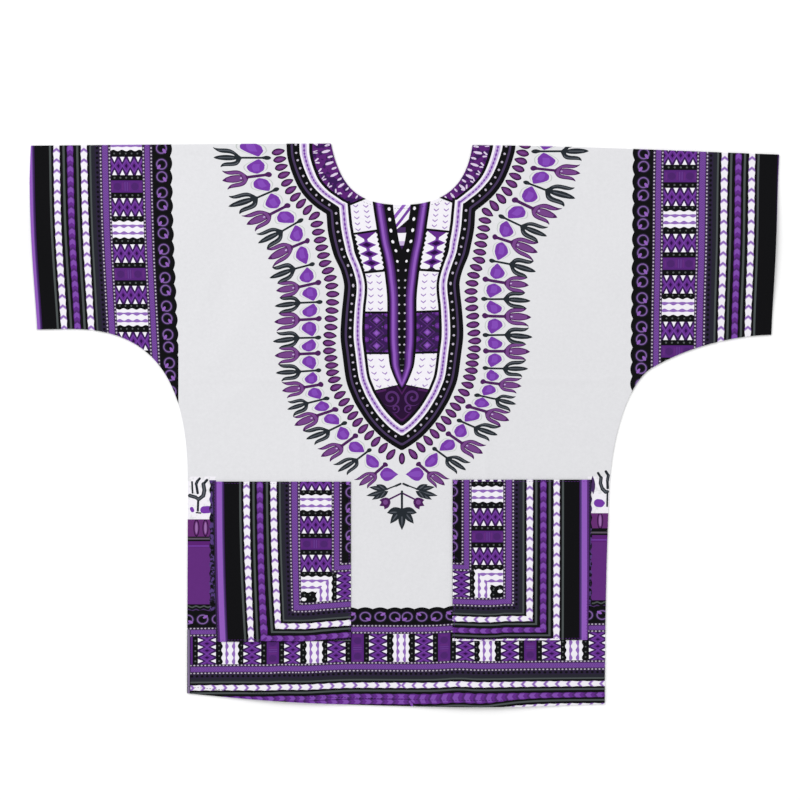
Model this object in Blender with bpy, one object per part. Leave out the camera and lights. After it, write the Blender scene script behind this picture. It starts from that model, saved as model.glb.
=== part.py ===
"""Dashiki shirt lying front up: metres, +Z up, +Y towards the shoulders."""
import math

import bmesh
import bpy
from mathutils import Vector

# Cloth
WALL = 0.001                # cotton poplin with its turned hems
SEAM_GAP = 0.0003           # clearance between pieces that are sewn together

# Shoulders and neck, measured from the middle of the garment's own box
LEFT_REACH = 0.5225         # middle to the top of the left cuff
RIGHT_REACH = 0.5242
SHOULDER_HEIGHT = 0.3938    # middle to the shoulder line beside the neck
LEFT_CUFF_DROP = 0.0029     # how far the shoulder line falls on its way to each cuff
RIGHT_CUFF_DROP = 0.0154
NECK_X = -0.0038            # the neck sits a little off the middle
NECK_WIDTH = 0.1981
NECK_DEPTH = 0.0858
NECK_RIGHT_DROP = 0.0021    # the right neck point lies lower than the left one

# Sleeves and body
LEFT_CUFF_DEPTH = 0.2571
RIGHT_CUFF_DEPTH = 0.2520
CUFF_LEAN_LEFT = 0.0069     # each cuff's lower corner lies nearer the body than its top
CUFF_LEAN_RIGHT = 0.0110
LEFT_SIDE_X = -0.3030
RIGHT_SIDE_X = 0.2862
LEFT_SIDE_TOP = -0.0769     # where the underarm curve runs out into the straight side
RIGHT_SIDE_TOP = -0.0958
LEFT_HEM = (-0.3039, -0.3751)
RIGHT_HEM = (0.2803, -0.3899)
RIGHT_UNDERARM = (0.3424, 0.0777)    # where each underarm edge changes its curve
LEFT_UNDERARM = (-0.4660, 0.1347)

# Edges of front and back: each runs from corner to corner, drawn out of them along two pulls
EDGE_COLUMNS = ("start", "pull_out", "pull_in", "end", "steps")
EDGES = (
    ("left_cuff_top", (0.140, 0.001), (-0.140, 0.0), "neck_left", 4),
    ("neck_left", (0.0144, -0.0700), (-0.0532, 0.0), "neck_foot", 9),
    ("neck_foot", (0.0532, 0.0), (-0.0090, -0.0640), "neck_right", 9),
    ("neck_right", (0.150, -0.001), (-0.130, 0.0045), "right_cuff_top", 4),
    ("right_cuff_top", (-0.004, -0.084), (0.004, 0.084), "right_cuff_foot", 2),
    ("right_cuff_foot", (-0.060, -0.001), (0.045, 0.028), "right_underarm", 6),
    ("right_underarm", (-0.032, -0.024), (0.002, 0.075), "right_side_top", 7),
    ("right_side_top", (-0.004, -0.095), (0.0, 0.095), "right_hem", 4),
    ("right_hem", (-0.180, -0.0075), (0.190, -0.0200), "left_hem", 12),
    ("left_hem", (0.0, 0.100), (0.0, -0.100), "left_side_top", 2),
    ("left_side_top", (0.0, 0.140), (0.115, 0.0), "left_underarm", 12),
    ("left_underarm", (-0.016, 0.0), (0.016, 0.0), "left_cuff_foot", 1),
    ("left_cuff_foot", (-0.0035, 0.085), (-0.0050, -0.090), "left_cuff_top", 5),
)

# Patch pockets: top edge, bottom edge and how far the outer edge leans in
POCKET_COLUMNS = ("name", "outer_x", "inner_x", "top", "inner_bottom", "outer_bottom", "lean")
POCKETS = (
    ("left_pocket", -0.2684, -0.0749, -0.0790, -0.3016, -0.3030, 0.0053),
    ("right_pocket", 0.2612, 0.0672, -0.0763, -0.3016, -0.3003, -0.0047),
)

# Soft swells where the front stands off the back
SWELL_COLUMNS = ("x", "y", "reach_x", "reach_y", "rise")
SWELLS = (
    (-0.522, 0.262, 0.150, 0.112, 0.0062),      # left cuff mouth
    (0.520, 0.250, 0.170, 0.110, 0.0070),       # right cuff mouth
    (-0.330, 0.255, 0.120, 0.105, 0.0030),      # left sleeve
    (0.345, 0.245, 0.110, 0.095, 0.0034),       # right sleeve
    (-0.170, 0.150, 0.120, 0.170, 0.0042),      # left chest
    (0.135, 0.120, 0.140, 0.160, 0.0036),       # right chest
    (-0.020, -0.060, 0.230, 0.110, 0.0040),     # waist
    (-0.165, -0.392, 0.110, 0.130, 0.0052),     # left of the hem
    (0.110, -0.396, 0.130, 0.110, 0.0060),      # right of the hem
)

# Press creases: low straight ridges left by the folded garment
CREASE_COLUMNS = ("across", "place", "start", "end", "height", "half_width")
CREASES = (
    ("x", -0.1470, -0.3950, 0.3950, 0.0012, 0.009),
    ("x", 0.1130, -0.3950, 0.3950, 0.0012, 0.009),
    ("y", 0.0640, -0.3100, 0.3100, 0.0010, 0.009),
)
CREASE_RUN_OUT = 0.060      # a crease fades over this length at its ends

FRONT_GRID = 0.0150         # size of the front's faces, small enough for its swells
BACK_GRID = 0.060           # the back lies flat
LEAST_STRIP = 0.006         # no two cuts lie closer than this
WELD = 1e-5

COTTON = (0.79, 0.79, 0.80, 1.0)
PRINTED = (0.21, 0.08, 0.36, 1.0)
COTTON_ROUGHNESS = 0.85


def clear_scene():
    for thing in list(bpy.data.objects):
        bpy.data.objects.remove(thing, do_unlink=True)


def make_material(name, colour):
    material = bpy.data.materials.new(name)
    material.use_nodes = True
    shader = material.node_tree.nodes["Principled BSDF"]
    shader.inputs["Base Color"].default_value = colour
    shader.inputs["Roughness"].default_value = COTTON_ROUGHNESS
    shader.inputs["Metallic"].default_value = 0.0
    material.diffuse_color = colour
    return material


def corners():
    """The corners of the T shape, and the two places where an underarm edge changes its curve."""
    neck_half = NECK_WIDTH / 2
    left_cuff_height = SHOULDER_HEIGHT - LEFT_CUFF_DROP
    right_cuff_height = SHOULDER_HEIGHT - RIGHT_CUFF_DROP
    return {
        "left_cuff_top": (-LEFT_REACH, left_cuff_height),
        "left_cuff_foot": (-LEFT_REACH + CUFF_LEAN_LEFT, left_cuff_height - LEFT_CUFF_DEPTH),
        "left_underarm": LEFT_UNDERARM,
        "left_side_top": (LEFT_SIDE_X, LEFT_SIDE_TOP),
        "left_hem": LEFT_HEM,
        "neck_left": (NECK_X - neck_half, SHOULDER_HEIGHT),
        "neck_foot": (NECK_X, SHOULDER_HEIGHT - NECK_DEPTH),
        "neck_right": (NECK_X + neck_half, SHOULDER_HEIGHT - NECK_RIGHT_DROP),
        "right_cuff_top": (RIGHT_REACH, right_cuff_height),
        "right_cuff_foot": (RIGHT_REACH - CUFF_LEAN_RIGHT, right_cuff_height - RIGHT_CUFF_DEPTH),
        "right_underarm": RIGHT_UNDERARM,
        "right_side_top": (RIGHT_SIDE_X, RIGHT_SIDE_TOP),
        "right_hem": RIGHT_HEM,
    }


def curve(row, places):
    """Points of a smooth edge from its start up to, but not on, its end."""
    first = Vector(places[row["start"]])
    last = Vector(places[row["end"]])
    second = first + Vector(row["pull_out"])
    third = last + Vector(row["pull_in"])
    points = []
    for step in range(row["steps"]):
        t = step / row["steps"]
        s = 1.0 - t
        points.append(first * s**3 + second * 3 * s * s * t + third * 3 * s * t * t + last * t**3)
    return points


def body_outline():
    """The T shape of front and back, clockwise from the top of the left cuff."""
    places = corners()
    points = []
    for values in EDGES:
        points += curve(dict(zip(EDGE_COLUMNS, values)), places)
    return centred(points)


def middle_of(points):
    across = [point.x for point in points]
    up = [point.y for point in points]
    return Vector(((min(across) + max(across)) / 2, (min(up) + max(up)) / 2))


def centred(points):
    """The same points with the middle of their box on the origin."""
    middle = middle_of(points)
    return [point - middle for point in points]


def pocket_outline(row):
    foot_x = row["outer_x"] + row["lean"]
    return [
        Vector((row["outer_x"], row["top"])),
        Vector((row["inner_x"], row["top"])),
        Vector((row["inner_x"], row["inner_bottom"])),
        Vector((foot_x, row["outer_bottom"])),
    ]


def crease_height(x, y):
    height = 0.0
    for values in CREASES:
        row = dict(zip(CREASE_COLUMNS, values))
        side, along = (x, y) if row["across"] == "x" else (y, x)
        off = abs(side - row["place"]) / row["half_width"]
        to_end = min(along - row["start"], row["end"] - along)
        fade = min(1.0, max(0.0, to_end / CREASE_RUN_OUT))
        height = max(height, row["height"] * fade * max(0.0, 1.0 - off))
    return height


def swell_height(x, y):
    height = 0.0
    for values in SWELLS:
        row = dict(zip(SWELL_COLUMNS, values))
        far = math.hypot((x - row["x"]) / row["reach_x"], (y - row["y"]) / row["reach_y"])
        if far < 1.0:
            height += row["rise"] * (1.0 - far * far) ** 2
    return height


def front_under(x, y):
    """Height of the front's underside, on the back and lifted by swells and creases."""
    return WALL + SEAM_GAP + swell_height(x, y) + crease_height(x, y)


def pocket_under(x, y):
    return front_under(x, y) + WALL + SEAM_GAP


def back_under(x, y):
    return 0.0


def cuts(low, high, pitch, across):
    """Places of the cuts that share out a sheet: a crest and two feet for each crease, then a grid."""
    places = []
    for values in CREASES:
        row = dict(zip(CREASE_COLUMNS, values))
        if row["across"] == across:
            places += [row["place"] - row["half_width"], row["place"], row["place"] + row["half_width"]]
    first = math.ceil(low / pitch)
    last = math.floor(high / pitch)
    for step in range(first, last + 1):
        place = step * pitch
        if all(abs(place - other) > LEAST_STRIP for other in places):
            places.append(place)
    return sorted(place for place in places if low < place < high)


def cut_sheet(outline, pitch):
    """A flat sheet of the outline's shape, cut into small faces."""
    bm = bmesh.new()
    bm.faces.new([bm.verts.new((point.x, point.y, 0.0)) for point in outline])
    for axis, across in enumerate("xy"):
        values = [point[axis] for point in outline]
        normal = Vector((0.0, 0.0, 0.0))
        normal[axis] = 1.0
        for place in cuts(min(values), max(values), pitch, across):
            everything = bm.verts[:] + bm.edges[:] + bm.faces[:]
            bmesh.ops.bisect_plane(bm, geom=everything, dist=WELD, plane_co=normal * place, plane_no=normal)
    return bm


def cloth_piece(name, outline, pitch, under, colour):
    """A wall of cloth whose underside follows a height rule."""
    bm = cut_sheet(outline, pitch)
    for vert in bm.verts:
        vert.co.z = under(vert.co.x, vert.co.y)
    raised = bmesh.ops.extrude_face_region(bm, geom=bm.faces[:], use_keep_orig=True)
    tops = [item for item in raised["geom"] if isinstance(item, bmesh.types.BMVert)]
    bmesh.ops.translate(bm, verts=tops, vec=(0.0, 0.0, WALL))
    bmesh.ops.recalc_face_normals(bm, faces=bm.faces[:])
    mesh = bpy.data.meshes.new(name)
    bm.to_mesh(mesh)
    bm.free()
    piece = bpy.data.objects.new(name, mesh)
    piece.data.materials.append(make_material(name + "_cloth", colour))
    bpy.context.scene.collection.objects.link(piece)
    return piece


def build():
    clear_scene()
    outline = body_outline()
    cloth_piece("back_body", outline, BACK_GRID, back_under, COTTON)
    cloth_piece("front_body", outline, FRONT_GRID, front_under, COTTON)
    for values in POCKETS:
        row = dict(zip(POCKET_COLUMNS, values))
        cloth_piece(row["name"], pocket_outline(row), FRONT_GRID, pocket_under, PRINTED)


build()
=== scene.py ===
import math

import bmesh
import bpy
import numpy as np
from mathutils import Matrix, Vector
from mathutils.kdtree import KDTree


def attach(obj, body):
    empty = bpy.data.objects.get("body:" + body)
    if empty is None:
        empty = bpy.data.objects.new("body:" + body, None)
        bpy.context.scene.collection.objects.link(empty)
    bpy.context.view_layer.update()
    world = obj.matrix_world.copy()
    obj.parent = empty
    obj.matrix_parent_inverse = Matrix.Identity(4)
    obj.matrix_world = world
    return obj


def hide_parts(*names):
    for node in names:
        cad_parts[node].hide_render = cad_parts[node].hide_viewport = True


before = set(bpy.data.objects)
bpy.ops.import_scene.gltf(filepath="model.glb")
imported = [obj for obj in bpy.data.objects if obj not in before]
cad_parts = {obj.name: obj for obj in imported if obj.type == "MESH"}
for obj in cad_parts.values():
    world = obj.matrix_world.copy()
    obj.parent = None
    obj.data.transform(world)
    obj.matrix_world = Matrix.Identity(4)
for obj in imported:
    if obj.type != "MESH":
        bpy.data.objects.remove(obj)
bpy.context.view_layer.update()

# A cotton shirt with a printed neck panel and printed borders, lying front up.
# The cloth is cut in metres. The prints are laid out in millimetres on the flat cloth.

# Colours of the print, as sRGB values from 0 to 255.
paints = {
    "cotton": (230, 230, 233),
    "white": (246, 243, 250),
    "faint": (198, 204, 200),
    "lilac": (200, 178, 222),
    "mark": (168, 138, 198),
    "braid": (146, 106, 186),
    "light": (147, 93, 190),
    "lightEdge": (86, 62, 126),
    "braidLight": (130, 78, 174),
    "lace": (116, 62, 160),
    "stripeLight": (128, 82, 168),
    "stripe": (103, 59, 140),
    "stripeEdge": (82, 42, 112),
    "mid": (100, 44, 138),
    "deep": (74, 46, 98),
    "bandLine": (70, 54, 90),
    "seamLine": (128, 112, 146),
    "violet": (58, 26, 86),
    "night": (42, 32, 58),
    "dusk": (54, 42, 66),
    "core": (42, 8, 70),
    "blob": (120, 58, 168),
    "blobLight": (134, 76, 186),
    "side": (98, 44, 124),
    "yoke": (92, 34, 116),
    "petal": (224, 208, 234),
    "plum": (76, 30, 90),
    "plumFill": (120, 70, 138),
    "wine": (104, 46, 116),
    "wineDark": (40, 13, 52),
    "coil": (86, 46, 110),
    "oval": (156, 112, 172),
    "block": (88, 38, 122),
    "blockDark": (77, 36, 108),
    "ring": (128, 96, 160),
    "bud": (150, 98, 190),
    "charcoal": (36, 42, 48),
    "slateLight": (86, 90, 98),
    "slate": (38, 38, 48),
    "grey": (78, 84, 84),
    "ash": (94, 84, 98),
    "greyDot": (88, 92, 92),
    "dot": (190, 182, 198),
    "black": (10, 10, 13),
}
dyeGain = 0.855  # the studio lights a little brighter than the dyes were matched in


def paint(name):
    def linear(value):
        value /= 255
        return dyeGain * (value / 12.92 if value <= 0.04045 else ((value + 0.055) / 1.055) ** 2.4)

    return tuple(linear(value) for value in paints[name]) + (1.0,)


# A number in a material: the usual operators make Math nodes.
class Wire:
    def __init__(self, tree, socket):
        self.tree = tree
        self.socket = socket

    def join(self, operation, *others):
        node = self.tree.nodes.new("ShaderNodeMath")
        node.operation = operation
        for slot, value in zip(node.inputs, (self, *others)):
            if isinstance(value, Wire):
                self.tree.links.new(value.socket, slot)
            else:
                slot.default_value = value
        return Wire(self.tree, node.outputs[0])

    def __add__(self, other):
        return self.join("ADD", other)

    def __radd__(self, other):
        return self.join("ADD", other)

    def __sub__(self, other):
        return self.join("SUBTRACT", other)

    def __rsub__(self, other):
        return self.join("MULTIPLY_ADD", -1.0, other)

    def __mul__(self, other):
        return self.join("MULTIPLY", other)

    def __rmul__(self, other):
        return self.join("MULTIPLY", other)

    def __truediv__(self, other):
        return self.join("DIVIDE", other)

    def __pow__(self, other):
        return self.join("POWER", other)

    def __abs__(self):
        return self.join("ABSOLUTE")

    def below(self, limit):
        return self.join("LESS_THAN", limit)

    def above(self, limit):
        return self.join("GREATER_THAN", limit)

    def near(self, middle, reach):
        return self.join("COMPARE", middle, reach)

    def within(self, low, high):
        return self.near((low + high) / 2, (high - low) / 2)

    def least(self, other):
        return self.join("MINIMUM", other)

    def nearest(self, places):  # distance to the nearest of some places
        gap = abs(self - places[0])
        for place in places[1:]:
            gap = gap.least(abs(self - place))
        return gap

    def most(self, other):
        return self.join("MAXIMUM", other)

    def wrap(self, pitch):  # distance to the nearest of marks a pitch apart, from -pitch / 2 to pitch / 2
        return self.join("WRAP", pitch / 2, -pitch / 2)

    def wave(self, pitch):
        return (self * (2 * math.pi / pitch)).join("COSINE")

    def pick(self, other, choose):  # self where choose is 0, other where it is 1
        return (other - self).join("MULTIPLY_ADD", choose, self)

    def profile(self, points):  # a smooth curve through a few given points
        low, reach = points[0][0], points[-1][0] - points[0][0]
        base = min(value for _, value in points)
        tall = max(value for _, value in points) - base
        place = ((self - low) / reach).most(0.0).least(1.0)
        node = self.tree.nodes.new("ShaderNodeFloatCurve")
        bend = node.mapping.curves[0]
        for index, (at, value) in enumerate(points):
            spot = ((at - low) / reach, (value - base) / tall)
            if index in (0, len(points) - 1):
                bend.points[0 if index == 0 else len(bend.points) - 1].location = spot
            else:
                bend.points.new(*spot)
        for point in bend.points:
            point.handle_type = "AUTO_CLAMPED"
        node.mapping.update()
        self.tree.links.new(place.socket, node.inputs["Value"])
        return Wire(self.tree, node.outputs[0]) * tall + base


def squared(a, b):
    return b.join("MULTIPLY_ADD", b, a * a)


def disc(a, b, radius):
    return squared(a, b).below(radius * radius)


def ellipse(a, b, halfA, halfB):
    return squared(a / halfA, b / halfB).below(1.0)


def stroke(x, y, x0, y0, x1, y1):
    # share of the way from the first point to the second, and distance from that line
    length = math.hypot(x1 - x0, y1 - y0)
    ux, uy = (x1 - x0) / length, (y1 - y0) / length
    dx, dy = x - x0, y - y0
    return (dx * ux + dy * uy) / length, abs(dx * -uy + dy * ux)


def limb(x, y, x0, y0, x1, y1, wide):
    # a straight stroke with round ends
    share, _ = stroke(x, y, x0, y0, x1, y1)
    held = share.most(0.0).least(1.0)
    return disc(x - x0 - held * (x1 - x0), y - y0 - held * (y1 - y0), wide)


def leaf(x, y, x0, y0, x1, y1, wide):
    share, off = stroke(x, y, x0, y0, x1, y1)
    swell = (share.most(0.0).least(1.0) * math.pi).join("SINE") * wide
    return off.below(swell)


fabric = {  # the cotton itself
    "threadPitch": 0.62,     # millimetres
    "weaveDepth": 0.05,
    "weaveStrength": 0.35,
    "paintedWeaveShade": 0.03,      # how much painted light the weave's crowns and painted shade its hollows get in the colour
    "mottle": 0.05,          # how much the dye varies
    "mottleScale": 240.0,
    "roughness": 0.86,
    "sheen": 0.04,
    "specular": 0.08,
}


nowhere = -9999.0  # millimetres, far outside the shirt


class Print:
    def __init__(self, name, ground="cotton"):
        self.material = bpy.data.materials.new(name)
        self.material.use_nodes = True
        self.tree = self.material.node_tree
        self.shader = self.tree.nodes["Principled BSDF"]
        coordinates = self.tree.nodes.new("ShaderNodeTexCoord")
        self.place = coordinates.outputs["Object"]
        split = self.tree.nodes.new("ShaderNodeSeparateXYZ")
        self.tree.links.new(self.place, split.inputs[0])
        self.x = Wire(self.tree, split.outputs[0]) * 1000
        self.y = Wire(self.tree, split.outputs[1]) * 1000
        self.colour = None
        self.ground = ground

    def attribute(self, name):
        node = self.tree.nodes.new("ShaderNodeAttribute")
        node.attribute_name = name
        split = self.tree.nodes.new("ShaderNodeSeparateXYZ")
        self.tree.links.new(node.outputs["Vector"], split.inputs[0])
        return [Wire(self.tree, split.outputs[index]) for index in range(3)]

    def cover(self, mask, name):
        mix = self.tree.nodes.new("ShaderNodeMix")
        mix.data_type = "RGBA"
        if self.colour is None:
            mix.inputs[6].default_value = paint(self.ground)
        else:
            self.tree.links.new(self.colour, mix.inputs[6])
        mix.inputs[7].default_value = paint(name)
        self.tree.links.new(mask.socket, mix.inputs[0])
        self.colour = mix.outputs[2]

    def nested(self, inside, size, rows):  # shapes inside each other, the largest first
        for limit, name in rows:
            self.cover(inside * size.below(limit), name)

    def speckle(self, scale, detail=2.0):
        noise = self.tree.nodes.new("ShaderNodeTexNoise")
        noise.inputs["Scale"].default_value = scale
        noise.inputs["Detail"].default_value = detail
        self.tree.links.new(self.place, noise.inputs["Vector"])
        return Wire(self.tree, noise.outputs["Fac"])

    def finish(self):
        nodes, links = self.tree.nodes, self.tree.links
        if self.colour is None:
            self.cover(self.x.below(nowhere), self.ground)
        # dye takes a little unevenly, and the weave gets painted light on its crowns and painted shade in its
        # hollows, following the bump
        turns = 2 * math.pi / fabric["threadPitch"]
        weave = (self.x * turns).join("SINE") * (self.y * turns).join("SINE")
        shade = (self.speckle(fabric["mottleScale"], 3.0) - 0.5) * (fabric["mottle"] * 2) + 1.0
        shade = shade + weave * fabric["paintedWeaveShade"]
        tinted = nodes.new("ShaderNodeVectorMath")
        tinted.operation = "SCALE"
        links.new(self.colour, tinted.inputs[0])
        links.new(shade.socket, tinted.inputs["Scale"])
        links.new(tinted.outputs[0], self.shader.inputs["Base Color"])
        bump = nodes.new("ShaderNodeBump")
        bump.inputs["Strength"].default_value = fabric["weaveStrength"]
        bump.inputs["Distance"].default_value = fabric["weaveDepth"] / 1000
        links.new(weave.socket, bump.inputs["Height"])
        links.new(bump.outputs["Normal"], self.shader.inputs["Normal"])
        self.shader.inputs["Roughness"].default_value = fabric["roughness"]
        self.shader.inputs["Sheen Weight"].default_value = fabric["sheen"]
        self.shader.inputs["Specular IOR Level"].default_value = fabric["specular"]
        return self.material


# The border that runs round the cuffs, the hem and the pockets.
# Distances are millimetres in from the border's outer edge.
borderStripes = (  # low, high, paint
    (27.0, 29.8, "grey"),
    (45.8, 48.8, "grey"),
    (65.0, 68.0, "grey"),
    (83.4, 85.8, "grey"),
    (85.8, 91.0, "slate"),
    (91.0, 97.2, "night"),
)
border = {
    "width": 196.3,
    "scallop": 2.8,
    "whiteBraids": (37.4, 75.7),
    "purpleBraid": 56.4,
    "braidHalf": 4.3,
    "braidPitch": 14.6,
    "purpleStripes": ((100.4, 109.8), (160.0, 168.2)),
    "whiteDots": (98.9, 111.3, 158.8, 169.8),
    "whiteDotPitch": 4.87,
    "blackDots": 94.2,
    "blackDotPitch": 6.85,
    "ladder": (113.0, 157.0),
    "ladderPitch": 122.6,
    "ringMiddle": 184.2,
    "ringPitch": 19.85,
    "ringRadius": 6.8,
    "blackDotRadius": 1.9,
    "whiteDotSize": (1.1, 1.25),
    "dotBandHalf": 1.8,
    "stripeCore": 0.74,           # share of a purple stripe inside its edges
    "chevron": (3.6, 0.8, 0.5),   # lean, share of the stripe, half width
}
edgeStripes = {  # what the outermost millimetres hold
    "left": ((-9.2, -4.6, "violet"), (-4.6, 3.2, "light"), (3.2, 4.6, "lightEdge"), (4.6, 6.4, "violet")),
    "right": ((-9.2, 1.6, "violet"),),
    "left_pocket": (
        (-30.0, -7.5, "night"), (-7.5, -5.1, "stripeEdge"), (-5.1, 2.5, "light"), (2.5, 4.1, "lightEdge"),
        (4.1, 5.7, "violet"),
    ),
    "right_pocket": (
        (-30.0, -8.6, "night"), (-8.6, -6.0, "stripeEdge"), (-6.0, 1.6, "light"), (1.6, 3.4, "lightEdge"),
        (3.4, 5.0, "violet"),
    ),
}
ladderRows = {  # millimetres along one repeat of the ladder, or across it
    "triangles": (12.6, 70.8),
    "triangleHalf": 12.9,
    "trianglePitch": 11.05,
    "triangleStart": 5.2,
    "nestSize": (5.7, 9.4),
    "nests": ((1.1, "lace"), (0.76, "mid"), (0.36, "core")),
    "spike": (5.5, 0.45),             # where a white spike starts, and how fast it widens
    "dotted": (29.2, 53.8),
    "dottedHalf": 3.4,
    "dotPitch": 8.15,
    "dotStart": 5.0,
    "dotRadius": 1.35,
    "block": (33.0, 50.0),
    "blockRings": (8.8, 33.2),
    "blockRing": 5.2,
    "blockSides": (6.2, 8.6, 5.5),    # strokes beside the rings: from, to, half height
    "blockBars": (1.6, 0.7, 6.2),     # the two in the middle: place, half width, half height
    "white": 101.9,
    "whiteHalf": 11.7,
    "wavyHalf": 18.9,
    "wavyDots": (16.0, 1.2),          # place, radius
    "waveStart": 4.0,
    "wavePitch": 12.15,
    "dashes": 5.1,
    "dashHalf": 1.7,
    "dashWave": (0.4, 0.75),          # how far the wave moves a dash, and swells it
}


def ladder(sheet, inside, along, across):
    rows = ladderRows
    t = along.join("WRAP", border["ladderPitch"], 0.0)
    sheet.cover(inside, "black")
    tall = t.nearest(rows["triangles"])
    pitch = rows["trianglePitch"]
    fromStart = across - rows["triangleStart"]
    inBand = inside * tall.below(rows["triangleHalf"])
    wide, high = rows["nestSize"]
    sheet.cover(inBand, "violet")
    sheet.nested(inBand, abs((fromStart - pitch / 2).wrap(pitch)) / wide + tall / high, rows["nests"])
    start, slope = rows["spike"]
    sheet.cover(inBand * abs(fromStart.wrap(pitch)).below((tall - start) * slope), "white")
    low, high = rows["block"]
    inBlock = inside * t.within(low, high)
    level = t - (low + high) / 2
    side = across.nearest(rows["blockRings"])
    sheet.cover(inBlock, "block")
    sheet.cover(inBlock * disc(side, level, rows["blockRing"]), "blockDark")
    low, high, half = rows["blockSides"]
    sheet.cover(inBlock * side.within(low, high) * abs(level).below(half), "side")
    place, wide, half = rows["blockBars"]
    bars = abs(abs(across - sum(rows["blockRings"]) / 2) - place).below(wide)
    sheet.cover(inBlock * bars * abs(level).below(half), "stripe")
    spots = (across - rows["dotStart"]).wrap(rows["dotPitch"])
    dots = t.nearest(rows["dotted"])
    inDots = inside * dots.below(rows["dottedHalf"])
    sheet.cover(inDots, "black")
    sheet.cover(inDots * disc(dots, spots, rows["dotRadius"]), "greyDot")
    far = abs(t - rows["white"])
    wave = (across - rows["waveStart"]).wave(rows["wavePitch"])
    place, radius = rows["wavyDots"]
    sheet.cover(inside * far.below(rows["wavyHalf"]), "black")
    sheet.cover(inside * disc(far - place, spots, radius), "greyDot")
    inWhite = inside * far.below(wave * -1.0 + rows["whiteHalf"])
    moved, swelled = rows["dashWave"]
    dash = abs(far - rows["dashes"] + wave * moved).below(wave * swelled + rows["dashHalf"])
    sheet.cover(inWhite, "white")
    sheet.cover(inWhite * dash, "braid")


braidPetals = {  # millimetres from the joint between two petals
    "slant": 0.75,
    "bulge": -0.35,
    "lilac": (-0.8, 4.0),
    "fold": (0.1, 2.9),
    "lit": (0.8, 8.2, 3.5),    # from, to, half width
    "shaded": (-2.6, 0.2),
}


def braidRow(sheet, inside, side, along, white=True):
    pitch = border["braidPitch"]
    shift = along if white else along + pitch / 3
    petal = (shift - side * braidPetals["slant"]).wrap(pitch)
    inBraid = inside * side.below(shift.wave(pitch) * braidPetals["bulge"] + border["braidHalf"])
    if white:
        sheet.cover(inBraid, "white")
        sheet.cover(inBraid * petal.within(*braidPetals["lilac"]), "lilac")
        sheet.cover(inBraid * petal.within(*braidPetals["fold"]), "braid")
    else:
        low, high, half = braidPetals["lit"]
        sheet.cover(inBraid, "mid")
        sheet.cover(inBraid * petal.within(low, high) * side.below(half), "braidLight")
        sheet.cover(inBraid * petal.within(*braidPetals["shaded"]), "stripeEdge")


ringShape = {
    "rim": 2.2,              # how far the dark ground reaches past the ring, and the hole inside it
    "half": 0.85,
    "budPlace": (3.9, 3.7),
    "budSize": (3.7, 1.9),
    "budLean": (0.56, 0.83),
}


def ringRow(sheet, inside, across, along, offset):
    step = (along / border["ringPitch"]).join("ROUND")
    odd = abs(step.join("MODULO", 2.0))
    down = along - step * border["ringPitch"] + odd * (offset * 2.0) - offset
    side = (across - border["ringMiddle"]) * (1.0 - odd * 2.0)
    away = squared(side, down)
    radius, rim, half = border["ringRadius"], ringShape["rim"], ringShape["half"]
    sheet.cover(inside * away.below((radius + rim) ** 2), "night")
    sheet.cover(inside * away.below((radius - rim) ** 2), "black")
    sheet.cover(inside * away.within((radius - half) ** 2, (radius + half) ** 2), "ring")
    budSide, budDown = side + ringShape["budPlace"][0], down - ringShape["budPlace"][1]
    leanSide, leanDown = ringShape["budLean"]
    budAlong = budSide * -leanSide + budDown * leanDown
    budAcross = budSide * leanDown + budDown * leanSide
    sheet.cover(inside * ellipse(budAlong, budAcross, *ringShape["budSize"]), "bud")


def borderPrint(sheet, inside, across, along, ladderAlong, ladderAcross, edge, braidSlip=(0.0, 0.0)):
    shift, way, offset = ringPlace[edge]
    ringAlong = along * way - shift
    scallop = abs((ringAlong * (math.pi / border["ringPitch"])).join("COSINE"))
    solid = inside * across.below(scallop * border["scallop"] + border["width"])
    sheet.cover(solid, "black")
    for low, high, name in edgeStripes.get(edge, edgeStripes["left"]) + borderStripes:
        sheet.cover(solid * across.within(low, high), name)
    big = along.wrap(border["blackDotPitch"])
    sheet.cover(solid * disc(across - border["blackDots"], big, border["blackDotRadius"]), "black")
    lean, share, half = border["chevron"]
    for low, high in border["purpleStripes"]:
        off = abs(across - (low + high) / 2) / ((high - low) / 2)
        inStripe = solid * off.below(1.0)
        chevron = abs((off * lean + along).wrap(border["whiteDotPitch"] / 2))
        sheet.cover(inStripe, "stripeEdge")
        sheet.cover(inStripe * off.below(border["stripeCore"]), "stripe")
        sheet.cover(inStripe * off.below(share) * chevron.below(half), "stripeLight")
    side = across.nearest(border["whiteDots"])
    small = abs(along.wrap(border["whiteDotPitch"]))
    sheet.cover(solid * side.below(border["dotBandHalf"]), "dusk")
    sheet.cover(solid * ellipse(side, small, *border["whiteDotSize"]), "dot")
    outer, inner = braidSlip
    slipped = along + across.below(border["purpleBraid"]) * (outer - inner) + inner
    braidRow(sheet, solid, across.nearest(border["whiteBraids"]), slipped)
    braidRow(sheet, solid, abs(across - border["purpleBraid"]), along, False)
    ringRow(sheet, solid, across, ringAlong, offset)
    low, high = border["ladder"]
    ladder(sheet, solid * across.within(low, high), ladderAlong, ladderAcross - low)


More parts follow.
